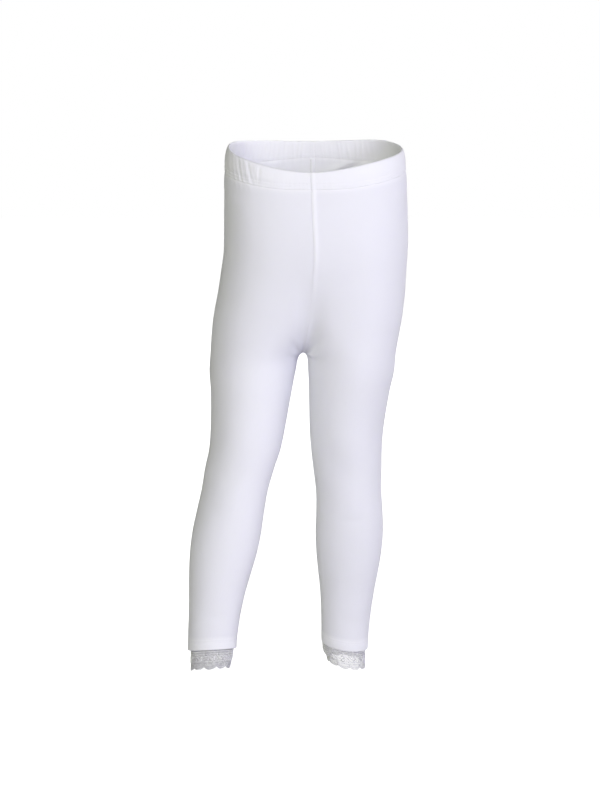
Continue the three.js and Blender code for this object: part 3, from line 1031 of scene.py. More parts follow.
class NodeTree:
    """A Geometry Nodes tree with named inputs, and what runs it on an object."""

    def __init__(self, name: str, inputs: dict[str, str]) -> None:
        """Starts the tree with a geometry input and output and the named inputs given.

        Args:
            name: the tree's name.
            inputs: each input's kind of number by its name.
        """
        self.tree = bpy.data.node_groups.new(name, "GeometryNodeTree")
        face = self.tree.interface
        face.new_socket("Geometry", in_out="INPUT", socket_type="NodeSocketGeometry")
        self.ids = {}
        for label, kind in {**inputs, "Material": "Material"}.items():
            socket = face.new_socket(label, in_out="INPUT", socket_type="NodeSocket" + kind)
            self.ids[label] = socket.identifier
        face.new_socket("Geometry", in_out="OUTPUT", socket_type="NodeSocketGeometry")
        self.start = self.tree.nodes.new("NodeGroupInput")
        self.end = self.tree.nodes.new("NodeGroupOutput")

    def link(self, source: bpy.types.NodeSocket, target: bpy.types.NodeSocket) -> None:
        """Joins two sockets."""
        self.tree.links.new(source, target)

    def times(self, name: str, factor: float) -> bpy.types.NodeSocket:
        """One of the tree's inputs, multiplied by a factor."""
        product = add_node(self.tree, "ShaderNodeMath", {1: factor}, operation="MULTIPLY")
        self.link(self.start.outputs[name], product.inputs[0])
        return product.outputs[0]

    def thread(self, path: bpy.types.NodeSocket) -> bpy.types.NodeSocket:
        """Sweeps a round thread along a curve."""
        ring = add_node(self.tree, "GeometryNodeCurvePrimitiveCircle")
        self.link(self.start.outputs["Thread Sides"], ring.inputs["Resolution"])
        self.link(self.start.outputs["Thread Radius"], ring.inputs["Radius"])
        swept = add_node(self.tree, "GeometryNodeCurveToMesh", {"Fill Caps": True})
        self.link(path, swept.inputs["Curve"])
        self.link(ring.outputs["Curve"], swept.inputs["Profile Curve"])
        return swept.outputs["Mesh"]

    def lay(
        self,
        thread: bpy.types.NodeSocket,
        points: bpy.types.NodeSocket,
        way: bpy.types.NodeSocket | None = None,
    ) -> None:
        """Ends the tree: a thread lies at every point, real and in its material.

        Args:
            thread: the thread's mesh.
            points: where it lies.
            way: how it turns at each point, if it does.
        """
        laid = add_node(self.tree, "GeometryNodeInstanceOnPoints")
        self.link(points, laid.inputs["Points"])
        self.link(thread, laid.inputs["Instance"])
        if way:
            self.link(way, laid.inputs["Rotation"])
        real = add_node(self.tree, "GeometryNodeRealizeInstances")
        dress = add_node(self.tree, "GeometryNodeSetMaterial")
        self.link(laid.outputs["Instances"], real.inputs["Geometry"])
        self.link(real.outputs["Geometry"], dress.inputs["Geometry"])
        self.link(self.start.outputs["Material"], dress.inputs["Material"])
        self.link(dress.outputs["Geometry"], self.end.inputs["Geometry"])

    def run(self, piece: bpy.types.Object, **values: object) -> None:
        """Runs the tree on an object and leaves it a plain mesh.

        Args:
            piece: the object that gives the tree its geometry.
            values: the tree's inputs by name, with _ for a space.
        """
        modifier = piece.modifiers.new(self.tree.name, "NODES")
        modifier.node_group = self.tree
        for label, value in values.items():
            modifier[self.ids[label.replace("_", " ")]] = value
        graph = bpy.context.evaluated_depsgraph_get()
        graph.update()
        made = bpy.data.meshes.new_from_object(piece.evaluated_get(graph))
        piece.modifiers.remove(modifier)
        old = piece.data
        piece.data = made
        bpy.data.meshes.remove(old)
        made.polygons.foreach_set("use_smooth", [True] * len(made.polygons))


class StitchTree(NodeTree):
    """Lays a short arched length of thread at every point, along its line and out of the cloth."""

    ARC_STEPS = 6

    def __init__(self) -> None:
        """Builds the tree, whose lengths are in metres."""
        sizes = {"Stitch": "Float", "Thread Radius": "Float", "Thread Sides": "Int", "Arch": "Float"}
        super().__init__("stitches", sizes)
        top, low = self.start.outputs["Arch"], self.times("Arch", -0.5)
        back, ahead = self.times("Stitch", -0.5), self.times("Stitch", 0.5)
        arc = add_node(self.tree, "GeometryNodeCurveQuadraticBezier", {"Resolution": self.ARC_STEPS})
        for label, x, z in (("Start", back, low), ("Middle", None, top), ("End", ahead, low)):
            place = add_node(self.tree, "ShaderNodeCombineXYZ")
            if x:
                self.link(x, place.inputs["X"])
            self.link(z, place.inputs["Z"])
            self.link(place.outputs[0], arc.inputs[label])
        turned = None
        for axis, pivot, label in (("X", "AUTO", "along"), ("Z", "X", "out")):
            way = add_node(
                self.tree, "GeometryNodeInputNamedAttribute", {"Name": label}, data_type="FLOAT_VECTOR"
            )
            align = add_node(self.tree, "FunctionNodeAlignRotationToVector", axis=axis, pivot_axis=pivot)
            self.link(way.outputs["Attribute"], align.inputs["Vector"])
            if turned:
                self.link(turned, align.inputs["Rotation"])
            turned = align.outputs["Rotation"]
        self.lay(self.thread(arc.outputs["Curve"]), self.start.outputs["Geometry"], turned)


class HemStitches:
    """The rows of stitches that hold the turned hems, as distances above the edge."""

    ROWS = (8.2, 10.8)
    SPACING = 2.5
    INSIDE_ROW = HEM_TURN - 2.4
    INSIDE_SPACING = 1.6
    INSIDE_SLANT = 38

    def points(self, form: Form, leg: Leg) -> StitchPoints:
        """Places the stitches of one hem on the outside, and the slanted ones inside."""
        found = StitchPoints()
        turn = np.linspace(-1, 1, 241)
        for row in self.ROWS:
            line, out = surface_line(form, leg, HEM - row + 0 * turn, turn, depth=-0.16)
            found.add_line(line, out, self.SPACING)
        level = HEM - self.INSIDE_ROW + 0 * turn
        line, out = surface_line(form, leg, level, turn, depth=HEM_LAYERS - 0.05)
        found.add_line(line, -out, self.INSIDE_SPACING, slant=self.INSIDE_SLANT)
        return found


class WaistStitches:
    """The rows of stitches that hold the casing down, as distances above its lower edge."""

    ROWS = (1.3, 4.4)
    DEPTHS = (0.12, -0.02)
    SPACING = 2.6
    INSIDE_ROW = 2.8
    INSIDE_DEPTH = 2.15
    INSIDE_SPACING = 1.7
    INSIDE_SLANT = 40

    def points(self, form: Form, leg: Leg) -> StitchPoints:
        """Places the stitches of one half on the outside, and the slanted ones inside."""
        found = StitchPoints()
        turn = np.linspace(-0.99, 0.99, 481)
        tall = casing_height(turn, leg)
        lower_edge = top_edge(turn, leg) + tall
        gathers = Gathers(leg.side)
        for row, depth in zip(self.ROWS, self.DEPTHS):
            raised = gathers.height(turn, 0 * turn - row, tall)
            line, out = surface_line(form, leg, lower_edge - row, turn, depth=depth - raised, plain=True)
            found.add_line(line, out, self.SPACING)
        raised = gathers.height(turn, 0 * turn - self.INSIDE_ROW, tall) * WaistCasing.INNER_PUCKERS
        depth = self.INSIDE_DEPTH - raised
        line, out = surface_line(form, leg, lower_edge - self.INSIDE_ROW, turn, depth=depth, plain=True)
        found.add_line(line, -out, self.INSIDE_SPACING, slant=self.INSIDE_SLANT)
        return found


def surface_line(
    form: Form, leg: Leg, level: np.ndarray, turn: np.ndarray, depth: float | np.ndarray, plain: bool = False
) -> tuple[np.ndarray, np.ndarray]:
    """A line of points on one leg of the stepping figure.

    Args:
        form: the garment's form.
        leg: the leg.
        level: the level line of each point, or its drop where plain is set.
        turn: how far round each point lies.
        depth: how far below the surface the line runs.
        plain: whether level already holds drops.

    Returns:
        The points in metres, and the outward direction at each.
    """
    rows = np.stack([level - 1.0, level, level + 1.0])
    turns = np.broadcast_to(turn, rows.shape)
    drops = rows if plain else line_drop(form, rows, turns, leg)
    grid = form.surface(drops, turns)
    direction = outward(grid, np.full(3, bool(level.mean() > CROTCH)))
    placed = form.stance(grid - direction * np.broadcast_to(depth, turn.shape)[None, :, None], leg)
    beyond = form.stance(grid + direction, leg)
    out = beyond[1] - form.stance(grid, leg)[1]
    return placed[1], out / np.linalg.norm(out, axis=1, keepdims=True)


class LaceRepeatTree(NodeTree):
    """Turns one repeat's drawn lines into thread and lays the repeats side by side."""

    def __init__(self) -> None:
        """Builds the tree, whose lengths are in millimetres, as the lace's flat drawing is."""
        sizes = {"Thread Radius": "Float", "Thread Sides": "Int", "Pitch": "Float", "Repeats": "Int"}
        super().__init__("lace repeats", sizes)
        drawn = add_node(self.tree, "GeometryNodeMeshToCurve")
        self.link(self.start.outputs["Geometry"], drawn.inputs["Mesh"])
        step = add_node(self.tree, "ShaderNodeCombineXYZ")
        self.link(self.start.outputs["Pitch"], step.inputs["X"])
        line = add_node(self.tree, "GeometryNodeMeshLine", mode="OFFSET")
        self.link(self.start.outputs["Repeats"], line.inputs["Count"])
        self.link(step.outputs[0], line.inputs["Offset"])
        self.lay(self.thread(drawn.outputs["Curve"]), line.outputs["Mesh"])


@dataclass
class Drawing:
    """Lines of one lace repeat, flat, in millimetres along and down the lace."""

    points: list[tuple[float, float, float]] = field(default_factory=list)
    edges: list[tuple[int, int]] = field(default_factory=list)

    def line(self, places: list[tuple[float, float]], closed: bool = False, lift: float = 0.0) -> None:
        """Draws a line through places, closed on itself if asked."""
        first = len(self.points)
        self.points += [(x, y, lift) for x, y in places]
        self.edges += [(first + i, first + i + 1) for i in range(len(places) - 1)]
        if closed:
            self.edges.append((first + len(places) - 1, first))


def leaf(root: tuple[float, float], angle: float, length: float, width: float) -> list[tuple[float, float]]:
    """The outline of one leaf of the lace.

    Args:
        root: the place that it points away from.
        angle: the way it points, in degrees from the lace's length.
        length: its length.
        width: its greatest width.

    Returns:
        The outline's corners, which start a little way off the root.
    """
    start, corners = 2.0, 12
    way = math.radians(angle)
    places = []
    for t in (2 * math.pi * i / corners for i in range(corners)):
        along = start + length * (0.5 - 0.5 * math.cos(t))
        side = width / 2 * math.sin(t)
        x = root[0] + along * math.cos(way) - side * math.sin(way)
        places.append((x, root[1] + along * math.sin(way) + side * math.cos(way)))
    return places


@dataclass
class LaceCuff:
    """The lace sewn inside one hem: a close net with rings, leaves and a stem over a scalloped edge.

    Cords are given by how far they lie from the scalloped edge or down from the hem. The looks of the net, the
    cords and the worked lines set each one's colour between the open and the close thread: the net's low look
    is partly its thin thread and partly painted shade, for the lace lies in shade under the hem.
    """

    form: Form
    leg: Leg
    pitch: float = 14.4
    cells: int = 14
    net_radius: float = 0.215
    cord_radius: float = 0.28
    scroll_radius: float = 0.5
    eye_radius: float = 1.25
    fill_thick: float = 0.26
    hidden: float = 6.0

    EYES = ((0.25, 8.3), (0.75, 11.7))
    LEAVES = ((-20, 3.4, 1.7), (55, 2.8, 1.5), (200, 2.6, 1.5))
    LEAF_LIFT = 0.1
    EDGE_CORDS = (0.3, 1.1, 2.7)
    LEVEL_CORDS = (1.9, 2.5, 4.3, 4.9)
    WAVED_CORD = 15.2
    STEM = 10.0
    STEM_SWING = 3.0
    # The net's look is low partly for its thin thread and partly as painted shade.
    NET_LOOK = 0.4
    CORD_LOOK = 0.9
    WORKED_LOOK = 1.0
    WAVES = ((0.55, 5, 0.7), (0.35, 11, 2.0))

    def edge(self, x: float | np.ndarray) -> float | np.ndarray:
        """How far down the scalloped edge is."""
        lobe = np.abs(np.sin(np.asarray(x) / self.pitch * math.pi)) ** 0.7
        return LACE_SHOWN - SCALLOP_DEPTH * (1 - lobe) * 0.95

    def eyes(self) -> list[tuple[float, float]]:
        """The middles of the two round holes of one repeat."""
        return [(share * self.pitch, y) for share, y in self.EYES]

    def leaves(self) -> list[list[tuple[float, float]]]:
        """The leaves of one repeat: three at each eye, the second eye's turned half round."""
        return [
            leaf(eye, angle + turned, length, width)
            for eye, turned in zip(self.eyes(), (0, 180))
            for angle, length, width in self.LEAVES
        ]

    def cords(self) -> Drawing:
        """The cords of one repeat, which run along the lace and round its scallops."""
        drawing = Drawing()
        across = [float(x) for x in np.linspace(0, self.pitch, 25)]
        for inset in self.EDGE_CORDS:
            drawing.line([(x, float(self.edge(x)) - inset) for x in across])
        for y in self.LEVEL_CORDS:
            drawing.line([(x, y) for x in across[::4]], lift=0.1)
        waved = [(x, self.WAVED_CORD + 0.3 * math.cos(4 * math.pi * x / self.pitch)) for x in across]
        drawing.line(waved, lift=0.08)
        return drawing

    def scrolls(self) -> Drawing:
        """The thick worked lines of one repeat: rings round its eyes, and the stem between."""
        drawing = Drawing()
        around = [2 * math.pi * i / 12 for i in range(12)]
        for x, y in self.eyes():
            ring = [(x + self.eye_radius * math.cos(t), y + self.eye_radius * math.sin(t)) for t in around]
            drawing.line(ring, closed=True, lift=0.2)
        across = [float(x) for x in np.linspace(0, self.pitch, 21)]
        stem = [(x, self.STEM + self.STEM_SWING * math.sin(2 * math.pi * x / self.pitch)) for x in across]
        drawing.line(stem, lift=0.1)
        return drawing

    def net(self) -> Drawing:
        """The fine six-sided net of one repeat, from behind the hem to the scallops, open at the eyes."""
        drawing = Drawing()
        width = self.pitch / self.cells
        radius = width / math.sqrt(3)

        def worked(place: tuple[float, float]) -> bool:
            clear = all(math.dist(place, eye) > self.eye_radius for eye in self.eyes())
            return clear and place[1] < self.edge(place[0]) - 0.25

        for row in range(int((LACE_SHOWN + self.hidden) / (1.5 * radius))):
            y = -self.hidden + row * 1.5 * radius
            shift = 0.5 * (row % 2)
            corners = range(2 * self.cells + 1)
            zigzag = [((i / 2 + shift) * width, y - radius / (1 if i % 2 else 2)) for i in corners]
            run = []
            for place in zigzag + [(0.0, 1e6)]:
                if worked(place):
                    run.append(place)
                    continue
                if len(run) > 1:
                    drawing.line(run)
                run = []
            for x, top in zigzag[:-1:2]:
                if worked((x, top)) and worked((x, top + radius)):
                    drawing.line([(x, top), (x, top + radius)])
        return drawing

    def fills(self) -> tuple[np.ndarray, np.ndarray, np.ndarray]:
        """The leaves of every repeat, as flat closed slabs.

        Returns:
            Their points in millimetres, their triangles, and each point's look.
        """
        points, faces = [], []
        half = self.fill_thick / 2
        for repeat in range(SCALLOPS):
            for outline in self.leaves():
                first, count = len(points), len(outline)
                middle = np.mean(outline, axis=0)
                for lift in (self.LEAF_LIFT + half, self.LEAF_LIFT - half):
                    points += [(x + repeat * self.pitch, y, lift) for x, y in outline]
                    points.append((middle[0] + repeat * self.pitch, middle[1], lift))
                top, low = first + count, first + 2 * count + 1
                for i in range(count):
                    j = (i + 1) % count
                    back_i, back_j = top + 1 + i, top + 1 + j
                    faces += [(first + i, first + j, top), (back_j, back_i, low)]
                    faces += [(first + j, first + i, back_i), (first + j, back_i, back_j)]
        return np.array(points), np.array(faces), np.full(len(points), self.WORKED_LOOK)

    def wrap(self, flat: np.ndarray) -> np.ndarray:
        """Lays flat lace round the leg.

        Args:
            flat: points along, down and out of the flat lace, in millimetres.

        Returns:
            The points in metres.
        """
        share = np.mod((flat[:, 0] / self.pitch - self.leg.lace_shift) / SCALLOPS, 1.0)
        turn = share * 2 - 1
        drop = HEM + flat[:, 1] + hem_slant(self.form, turn, self.leg)
        points = self.form.surface(drop, turn)
        ahead = self.form.surface(drop, np.clip(turn + 0.002, -1, 1))
        behind = self.form.surface(drop, np.clip(turn - 0.002, -1, 1))
        below = self.form.surface(drop + 0.5, turn)
        out = np.cross(ahead - behind, points - below)
        out /= np.linalg.norm(out, axis=1, keepdims=True)
        free = np.clip(flat[:, 1] / LACE_SHOWN, 0, 1.2) ** 2
        wave = sum(size * np.sin(share * 2 * math.pi * count + first) for size, count, first in self.WAVES)
        flare = self.leg.lace_flare * np.exp(-(((1 - np.abs(turn)) / 0.35) ** 2))
        shown = smoothstep(flat[:, 1], -1.0, 2.0) * (1 - smoothstep(flat[:, 1], 9.0, 17.0))
        depth = LACE_INSET + 0.1 - flat[:, 2] - free * wave - flare * shown
        return self.form.stance(points - out * depth[:, None], self.leg)

    def build(self, tree: LaceRepeatTree, material: bpy.types.Material) -> bpy.types.Object:
        """Makes the cuff.

        Args:
            tree: what repeats the drawn lines.
            material: the lace's thread.

        Returns:
            The net, cords and leaves as one object.
        """
        name = "lace_cuff_" + self.leg.side.word
        parts = []
        for drawing, radius, sides, look in (
            (self.net(), self.net_radius, 3, self.NET_LOOK),
            (self.cords(), self.cord_radius, 5, self.CORD_LOOK),
            (self.scrolls(), self.scroll_radius, 6, self.WORKED_LOOK),
        ):
            made = mesh_object(name + "_drawing", drawing.points, drawing.edges)
            tree.run(
                made,
                Thread_Radius=radius,
                Thread_Sides=sides,
                Pitch=self.pitch,
                Repeats=SCALLOPS,
                Material=material,
            )
            points = mesh_points(made)
            parts.append((points, mesh_triangles(made), np.full(len(points), look)))
            bpy.data.objects.remove(made)
        parts.append(self.fills())
        piece = joined_object(name, parts, self.wrap)
        piece.data.materials.append(material)
        return piece


def mesh_points(piece: bpy.types.Object) -> np.ndarray:
    """An object's points."""
    values = np.empty(len(piece.data.vertices) * 3)
    piece.data.vertices.foreach_get("co", values)
    return values.reshape(-1, 3)


def mesh_triangles(piece: bpy.types.Object) -> np.ndarray:
    """An object's faces, as triangles."""
    piece.data.calc_loop_triangles()
    values = np.empty(len(piece.data.loop_triangles) * 3, int)
    piece.data.loop_triangles.foreach_get("vertices", values)
    return values.reshape(-1, 3)


def joined_object(
    name: str,
    parts: list[tuple[np.ndarray, np.ndarray, np.ndarray]],
    place: Callable[[np.ndarray], np.ndarray],
) -> bpy.types.Object:
    """Joins meshes into one object and moves every point.

    Args:
        name: the object's name.
        parts: each mesh's points, its triangles and the look of each point.
        place: what moves the points, and turns millimetres into metres.

    Returns:
        The joined object, with the flat places kept as its UV map.
    """
    counts = np.cumsum([0] + [len(part[0]) for part in parts])
    flat = np.concatenate([part[0] for part in parts])
    faces = np.concatenate([part[1] + start for part, start in zip(parts, counts)])
    looks = np.concatenate([part[2] for part in parts])
    return smooth_object(name, place(flat), faces, flat[faces.reshape(-1), :2] * MM, looks)


class ShaderGroup:
    """A shader node group with named inputs and outputs."""

    def __init__(self, name: str, inputs: dict[str, float | None], outputs: tuple[str, ...]) -> None:
        """Starts the group.

        Args:
            name: the group's name.
            inputs: each number's default, or None for a vector.
            outputs: the names of the numbers that it puts out.
        """
        self.tree = bpy.data.node_groups.new(name, "ShaderNodeTree")
        face = self.tree.interface
        for label, value in inputs.items():
            kind = "NodeSocketVector" if value is None else "NodeSocketFloat"
            socket = face.new_socket(label, in_out="INPUT", socket_type=kind)
            if value is not None:
                socket.default_value = value
        for label in outputs:
            face.new_socket(label, in_out="OUTPUT", socket_type="NodeSocketFloat")
        self.start = self.tree.nodes.new("NodeGroupInput")
        self.end = self.tree.nodes.new("NodeGroupOutput")

    def math(self, operation: str, *values: object) -> bpy.types.NodeSocket:
        """Adds a math node on numbers and sockets, and gives its result."""
        node = self.tree.nodes.new("ShaderNodeMath")
        node.operation = operation
        for socket, value in zip(node.inputs, values):
            if isinstance(value, (int, float)):
                socket.default_value = value
            else:
                self.tree.links.new(value, socket)
        return node.outputs[0]


def knit_group() -> bpy.types.NodeTree:
    """Jersey's face: columns of small nested V shapes, as a height from 0 to 1."""
    group = ShaderGroup("jersey knit", {"Place": None, "Wale": 0.0009, "Course": 0.0007}, ("Height",))
    split = group.tree.nodes.new("ShaderNodeSeparateXYZ")
    group.tree.links.new(group.start.outputs["Place"], split.inputs[0])
    column = group.math("DIVIDE", split.outputs["X"], group.start.outputs["Wale"])
    from_middle = group.math("ABSOLUTE", group.math("SUBTRACT", group.math("FRACT", column), 0.5))
    row = group.math("DIVIDE", split.outputs["Y"], group.start.outputs["Course"])
    slanted = group.math("ADD", row, group.math("MULTIPLY", from_middle, 1.6))
    from_leg = group.math("ABSOLUTE", group.math("SUBTRACT", from_middle, 0.25))
    leg = group.math("SUBTRACT", 1.0, group.math("POWER", group.math("MULTIPLY", from_leg, 4.0), 2.0))
    along = group.math("SUBTRACT", group.math("FRACT", slanted), 0.5)
    round_loop = group.math("SUBTRACT", 1.0, group.math("POWER", group.math("MULTIPLY", along, 2.0), 2.0))
    height = group.math("MULTIPLY", leg, group.math("POWER", round_loop, 0.6))
    group.tree.links.new(height, group.end.inputs["Height"])
    return group.tree


def twist_group() -> bpy.types.NodeTree:
    """The slanting strands of a twisted thread, as a height from 0 to 1."""
    group = ShaderGroup("thread twist", {"Place": None, "Strand": 0.00035}, ("Height",))
    split = group.tree.nodes.new("ShaderNodeSeparateXYZ")
    group.tree.links.new(group.start.outputs["Place"], split.inputs[0])
    total = group.math("ADD", split.outputs["X"], group.math("ADD", split.outputs["Y"], split.outputs["Z"]))
    turns = group.math("MULTIPLY", group.math("DIVIDE", total, group.start.outputs["Strand"]), math.pi)
    wave = group.math("ABSOLUTE", group.math("SINE", turns))
    group.tree.links.new(wave, group.end.inputs["Height"])
    return group.tree


def principled(name: str, inputs: dict[str, object]) -> tuple[bpy.types.Material, bpy.types.Node]:
    """Makes a material, and gives some of its shader's inputs their values."""
    material = bpy.data.materials.new(name)
    material.use_nodes = True
    shader = material.node_tree.nodes["Principled BSDF"]
    for label, value in inputs.items():
        shader.inputs[label].default_value = value
    return material, shader


@dataclass(frozen=True)
class ClothFinish:
    """A cotton finish: its colour as one layer and as two, carried on past two for the painted light on inside
    faces, how its knit or thread shows, and its sheen.
    """

    name: str
    single: tuple[float, float, float]
    doubled_and_lit: tuple[float, float, float]
    knit: bool = True
    bump: float = 0.25
    sheen: float = 0.12
    roughness: float = 0.82
    unevenness: float = 0.02

    BLOTCH = {"Scale": 22.0, "Detail": 4.0}
    FUZZ = {"Scale": 2600.0, "Detail": 2.0}
    FUZZ_SHARE = 0.35
    BUMP_HEIGHT = 0.00018

    def build(self, knit: bpy.types.NodeTree, twist: bpy.types.NodeTree) -> bpy.types.Material:
        """Makes the material.

        Args:
            knit: the group that draws the jersey's stitches.
            twist: the group that draws a thread's strands.

        Returns:
            The node material.
        """
        material, shader = principled(self.name, {
            "Roughness": self.roughness,
            "Sheen Weight": self.sheen,
            "Sheen Roughness": 0.45,
            "Specular IOR Level": 0.25,
        })
        tree = material.node_tree
        place = add_node(tree, "ShaderNodeTexCoord")
        blotch = add_node(tree, "ShaderNodeTexNoise", self.BLOTCH)
        tone = add_node(tree, "ShaderNodeMapRange", {"To Min": 1.0 - self.unevenness, "To Max": 1.0})
        colour = add_node(tree, "ShaderNodeMix", {"Factor": 1.0}, data_type="RGBA", blend_type="MULTIPLY")
        layers_and_light = add_node(tree, "ShaderNodeAttribute", attribute_name="layers_and_light")
        shades = {"A": (*self.single, 1.0), "B": (*self.doubled_and_lit, 1.0)}
        # Unclamped, so inside faces, past the two-layer colour, get their painted light.
        body = add_node(tree, "ShaderNodeMix", shades, data_type="RGBA", clamp_factor=False)
        pattern = add_node(tree, "ShaderNodeGroup", node_tree=knit if self.knit else twist)
        where = place.outputs["Object"]
        if self.knit:
            where = add_node(tree, "ShaderNodeUVMap", uv_map="cloth").outputs["UV"]
        fuzz = add_node(tree, "ShaderNodeTexNoise", self.FUZZ)
        height = add_node(tree, "ShaderNodeMath", {1: self.FUZZ_SHARE}, operation="MULTIPLY_ADD")
        bump = add_node(tree, "ShaderNodeBump", {"Strength": self.bump, "Distance": self.BUMP_HEIGHT})
        for source, target in (
            (place.outputs["Object"], blotch.inputs["Vector"]),
            (blotch.outputs["Fac"], tone.inputs["Value"]),
            (layers_and_light.outputs["Fac"], body.inputs["Factor"]),
            (body.outputs["Result"], colour.inputs["A"]),
            (tone.outputs["Result"], colour.inputs["B"]),
            (colour.outputs["Result"], shader.inputs["Base Color"]),
            (where, pattern.inputs["Place"]),
            (place.outputs["Object"], fuzz.inputs["Vector"]),
            (fuzz.outputs["Fac"], height.inputs[0]),
            (pattern.outputs["Height"], height.inputs[2]),
            (height.outputs[0], bump.inputs["Height"]),
            (bump.outputs["Normal"], shader.inputs["Normal"]),
        ):
            tree.links.new(source, target)
        return material


class Finishes:
    """The garment's materials, made once."""

    JERSEY_SINGLE = (0.810, 0.810, 0.865)
    JERSEY_DOUBLED = (0.865, 0.865, 0.910)
    # The open net's grey thread colour is partly painted shade, for the lace in shade under the hem.
    LACE_OPEN_SHADED = (0.60, 0.60, 0.62)
    LACE_CLOSE = (0.86, 0.86, 0.88)

    def __init__(self) -> None:
        """Makes every finish."""
        groups = knit_group(), twist_group()
        white, full = self.JERSEY_SINGLE, self.JERSEY_DOUBLED
        self.jersey = ClothFinish("white_jersey", white, full).build(*groups)
        self.casing = ClothFinish("casing_jersey", white, full, bump=0.3).build(*groups)
        lace = ClothFinish("lace_thread", self.LACE_OPEN_SHADED, self.LACE_CLOSE, knit=False, bump=0.4)
        self.lace = lace.build(*groups)
        self.thread = ClothFinish("sewing_thread", full, full, knit=False, bump=0.5).build(*groups)


@dataclass
class Studio:
    """The camera, the soft light and the pale floor."""

    target: tuple[float, float, float] = (-0.01575, 0.0, -0.2608)
    elevation: float = 10.0
    distance: float = 2.333
    lens: float = 100.0
    floor_below: float = 0.075
    light_size: float = 1.4

    LIGHTS = (
        ("key", (2.1, -2.1, 0.9), 41.0, (0.95, 0.98, 0.94)),
        ("front", (-0.9, -2.8, 0.95), 50.0, (0.97, 0.99, 0.78)),
        ("centre", (0.9, -2.9, 0.6), 24.0, (0.50, 0.40, 1.0)),
        ("left", (-3.0, -0.3, 0.5), 3.0, (0.94, 0.93, 1.0)),
        ("side", (3.0, -0.3, 0.5), 14.0, (1.0, 0.95, 0.9)),
        ("right", (2.2, 2.0, 0.8), 26.0, (0.98, 0.98, 1.0)),
        ("corner", (-2.2, 2.0, 0.8), 7.0, (0.98, 0.98, 1.0)),
        ("behind", (0.3, 2.8, 0.7), 20.0, (0.98, 0.98, 1.0)),
    )

    def camera(self) -> None:
        """Sets the camera at the photograph's angle."""
        data = bpy.data.cameras.new("camera")
        data.lens = self.lens
        data.sensor_width = 36.0
        camera = add_object("camera", data)
        angle = math.radians(self.elevation)
        back = Vector((0.0, -math.cos(angle), math.sin(angle)))
        camera.location = Vector(self.target) + back * self.distance
        camera.rotation_euler = (-back).to_track_quat("-Z", "Y").to_euler()
        bpy.context.scene.camera = camera

    def floor(self) -> None:
        """Lays a wide pale floor below the lace."""
        size = 6.0
        height = CAD_BOX[0][2] - self.floor_below
        corners = [(-size, -size, height), (size, -size, height), (size, size, height), (-size, size, height)]
        floor = mesh_object("floor", corners, faces=[(0, 1, 2, 3)])
        material, shader = principled("pale_floor", {
            "Base Color": (0.5, 0.5, 0.5, 1.0),
            "Roughness": 0.9,
            "Emission Color": (1.0, 1.0, 1.0, 1.0),
        })
        path = add_node(material.node_tree, "ShaderNodeLightPath")
        material.node_tree.links.new(path.outputs["Is Camera Ray"], shader.inputs["Emission Strength"])
        floor.data.materials.append(material)

    def world(self) -> None:
        """Surrounds the garment with white for the camera, and with dim light that is darker on the left."""
        world = bpy.data.worlds.new("studio")
        bpy.context.scene.world = world
        world.use_nodes = True
        tree = world.node_tree
        tree.nodes.clear()
        out = add_node(tree, "ShaderNodeOutputWorld")
        mix = add_node(tree, "ShaderNodeMixShader")
        seen = add_node(tree, "ShaderNodeBackground", {"Color": (1.0, 1.0, 1.0, 1.0)})
        lit = add_node(tree, "ShaderNodeBackground")
        path = add_node(tree, "ShaderNodeLightPath")
        where = add_node(tree, "ShaderNodeTexCoord")
        split = add_node(tree, "ShaderNodeSeparateXYZ")
        dimming = {"From Min": -1.0, "From Max": 0.5, "To Min": 0.04, "To Max": 0.08}
        ramp = add_node(tree, "ShaderNodeMapRange", dimming)
        for source, target in (
            (where.outputs["Generated"], split.inputs[0]),
            (split.outputs["X"], ramp.inputs["Value"]),
            (ramp.outputs["Result"], lit.inputs["Strength"]),
            (path.outputs["Is Camera Ray"], mix.inputs["Fac"]),
            (lit.outputs[0], mix.inputs[1]),
            (seen.outputs[0], mix.inputs[2]),
            (mix.outputs[0], out.inputs["Surface"]),
        ):
            tree.links.new(source, target)

    def light(
        self, name: str, place: tuple[float, float, float], power: float, colour: tuple[float, float, float]
    ) -> None:
        """Hangs one soft square light that faces the garment.

        Args:
            name: the light's name.
            place: where it hangs.
            power: its strength in watts.
            colour: its tint.
        """
        data = bpy.data.lights.new(name, "AREA")
        data.shape = "SQUARE"
        data.size = self.light_size
        data.energy = power
        data.color = colour
        light = add_object(name, data)
        light.location = place
        light.rotation_euler = (Vector(self.target) - Vector(place)).to_track_quat("-Z", "Y").to_euler()

    def build(self) -> None:
        """Sets the whole studio."""
        self.camera()
        self.floor()
        self.world()
        for light in self.LIGHTS:
            self.light(*light)
        bpy.context.scene.view_settings.view_transform = "Standard"


def fit(piece: bpy.types.Object, node: str | None = None) -> bpy.types.Object:
    """Puts a piece on the garment's one body.

    Args:
        piece: the piece.
        node: the solid that it stands for, if any.

    Returns:
        The piece.
    """
    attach(piece, BODY)
    if node:
        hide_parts(node)
    log.info("%s: %d faces", piece.name, len(piece.data.polygons))
    return piece


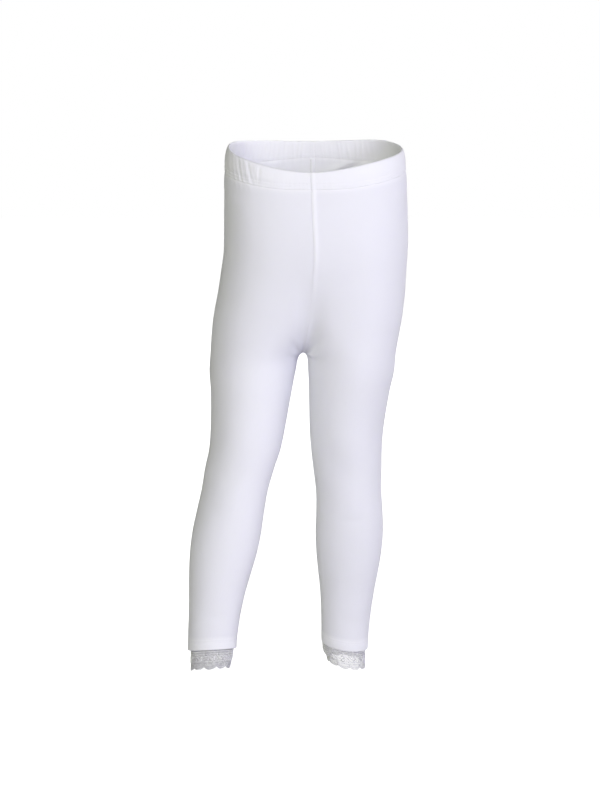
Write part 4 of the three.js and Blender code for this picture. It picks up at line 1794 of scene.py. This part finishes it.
class Leggings:
    """The garment's own pieces, made leg by leg."""

    PANEL_CUT = (0.290, 0.545)
    PANEL_AREA = 0.128
    CASING_CUT = (0.300, 0.022)
    LACE_CUT = (0.146, 0.030)
    STITCH = 2.1
    STITCH_ARCH = 0.22
    SEWING_THREAD = 0.17

    def __init__(self) -> None:
        """Readies what the pieces share."""
        self.form = Form()
        self.finishes = Finishes()
        self.stitches = StitchTree()
        self.lace = LaceRepeatTree()

    def sewing(self, name: str, rows: HemStitches | WaistStitches, leg: Leg) -> bpy.types.Object:
        """Makes the rows of stitches of one edge."""
        piece = rows.points(self.form, leg).object(name)
        self.stitches.run(
            piece,
            Stitch=self.STITCH * MM,
            Thread_Radius=self.SEWING_THREAD * MM,
            Thread_Sides=6,
            Arch=self.STITCH_ARCH * MM,
            Material=self.finishes.thread,
        )
        return fit(piece)

    def leg(self, leg: Leg) -> None:
        """Makes one leg with its casing, lace, seam allowances and sewing."""
        word = leg.side.word
        panel = fit(LegPanel(self.form, leg).build(self.finishes.jersey), "leg_" + word)
        casing = fit(WaistCasing(self.form, leg).build(self.finishes.casing), "casing_" + word)
        cuff = fit(LaceCuff(self.form, leg).build(self.lace, self.finishes.lace), "lace_" + word)
        hem = self.sewing("hem_stitches_" + word, HemStitches(), leg)
        waist = self.sewing("waist_stitches_" + word, WaistStitches(), leg)
        rise, end = ("front_rise_allowance", -1) if leg.side is Side.LEFT else ("back_rise_allowance", 1)
        strips = (
            SeamAllowance("inseam_allowance_" + word, self.form, leg, 1, (CROTCH + 3, HEM - 3)),
            SeamAllowance(rise, self.form, leg, end, (CASING + 1, CROTCH - 2)),
        )
        edges = [fit(strip.build(self.finishes.jersey)) for strip in strips]
        log.info("%s leg done, cuff of %d faces", word, len(cuff.data.polygons))


def main() -> None:
    """Builds the garment and its studio."""
    logging.basicConfig(level=logging.INFO, format="%(name)s: %(message)s")
    garment = Leggings()
    for leg in LEGS:
        garment.leg(leg)
    Studio().build()


if __name__ == "__main__":
    main()
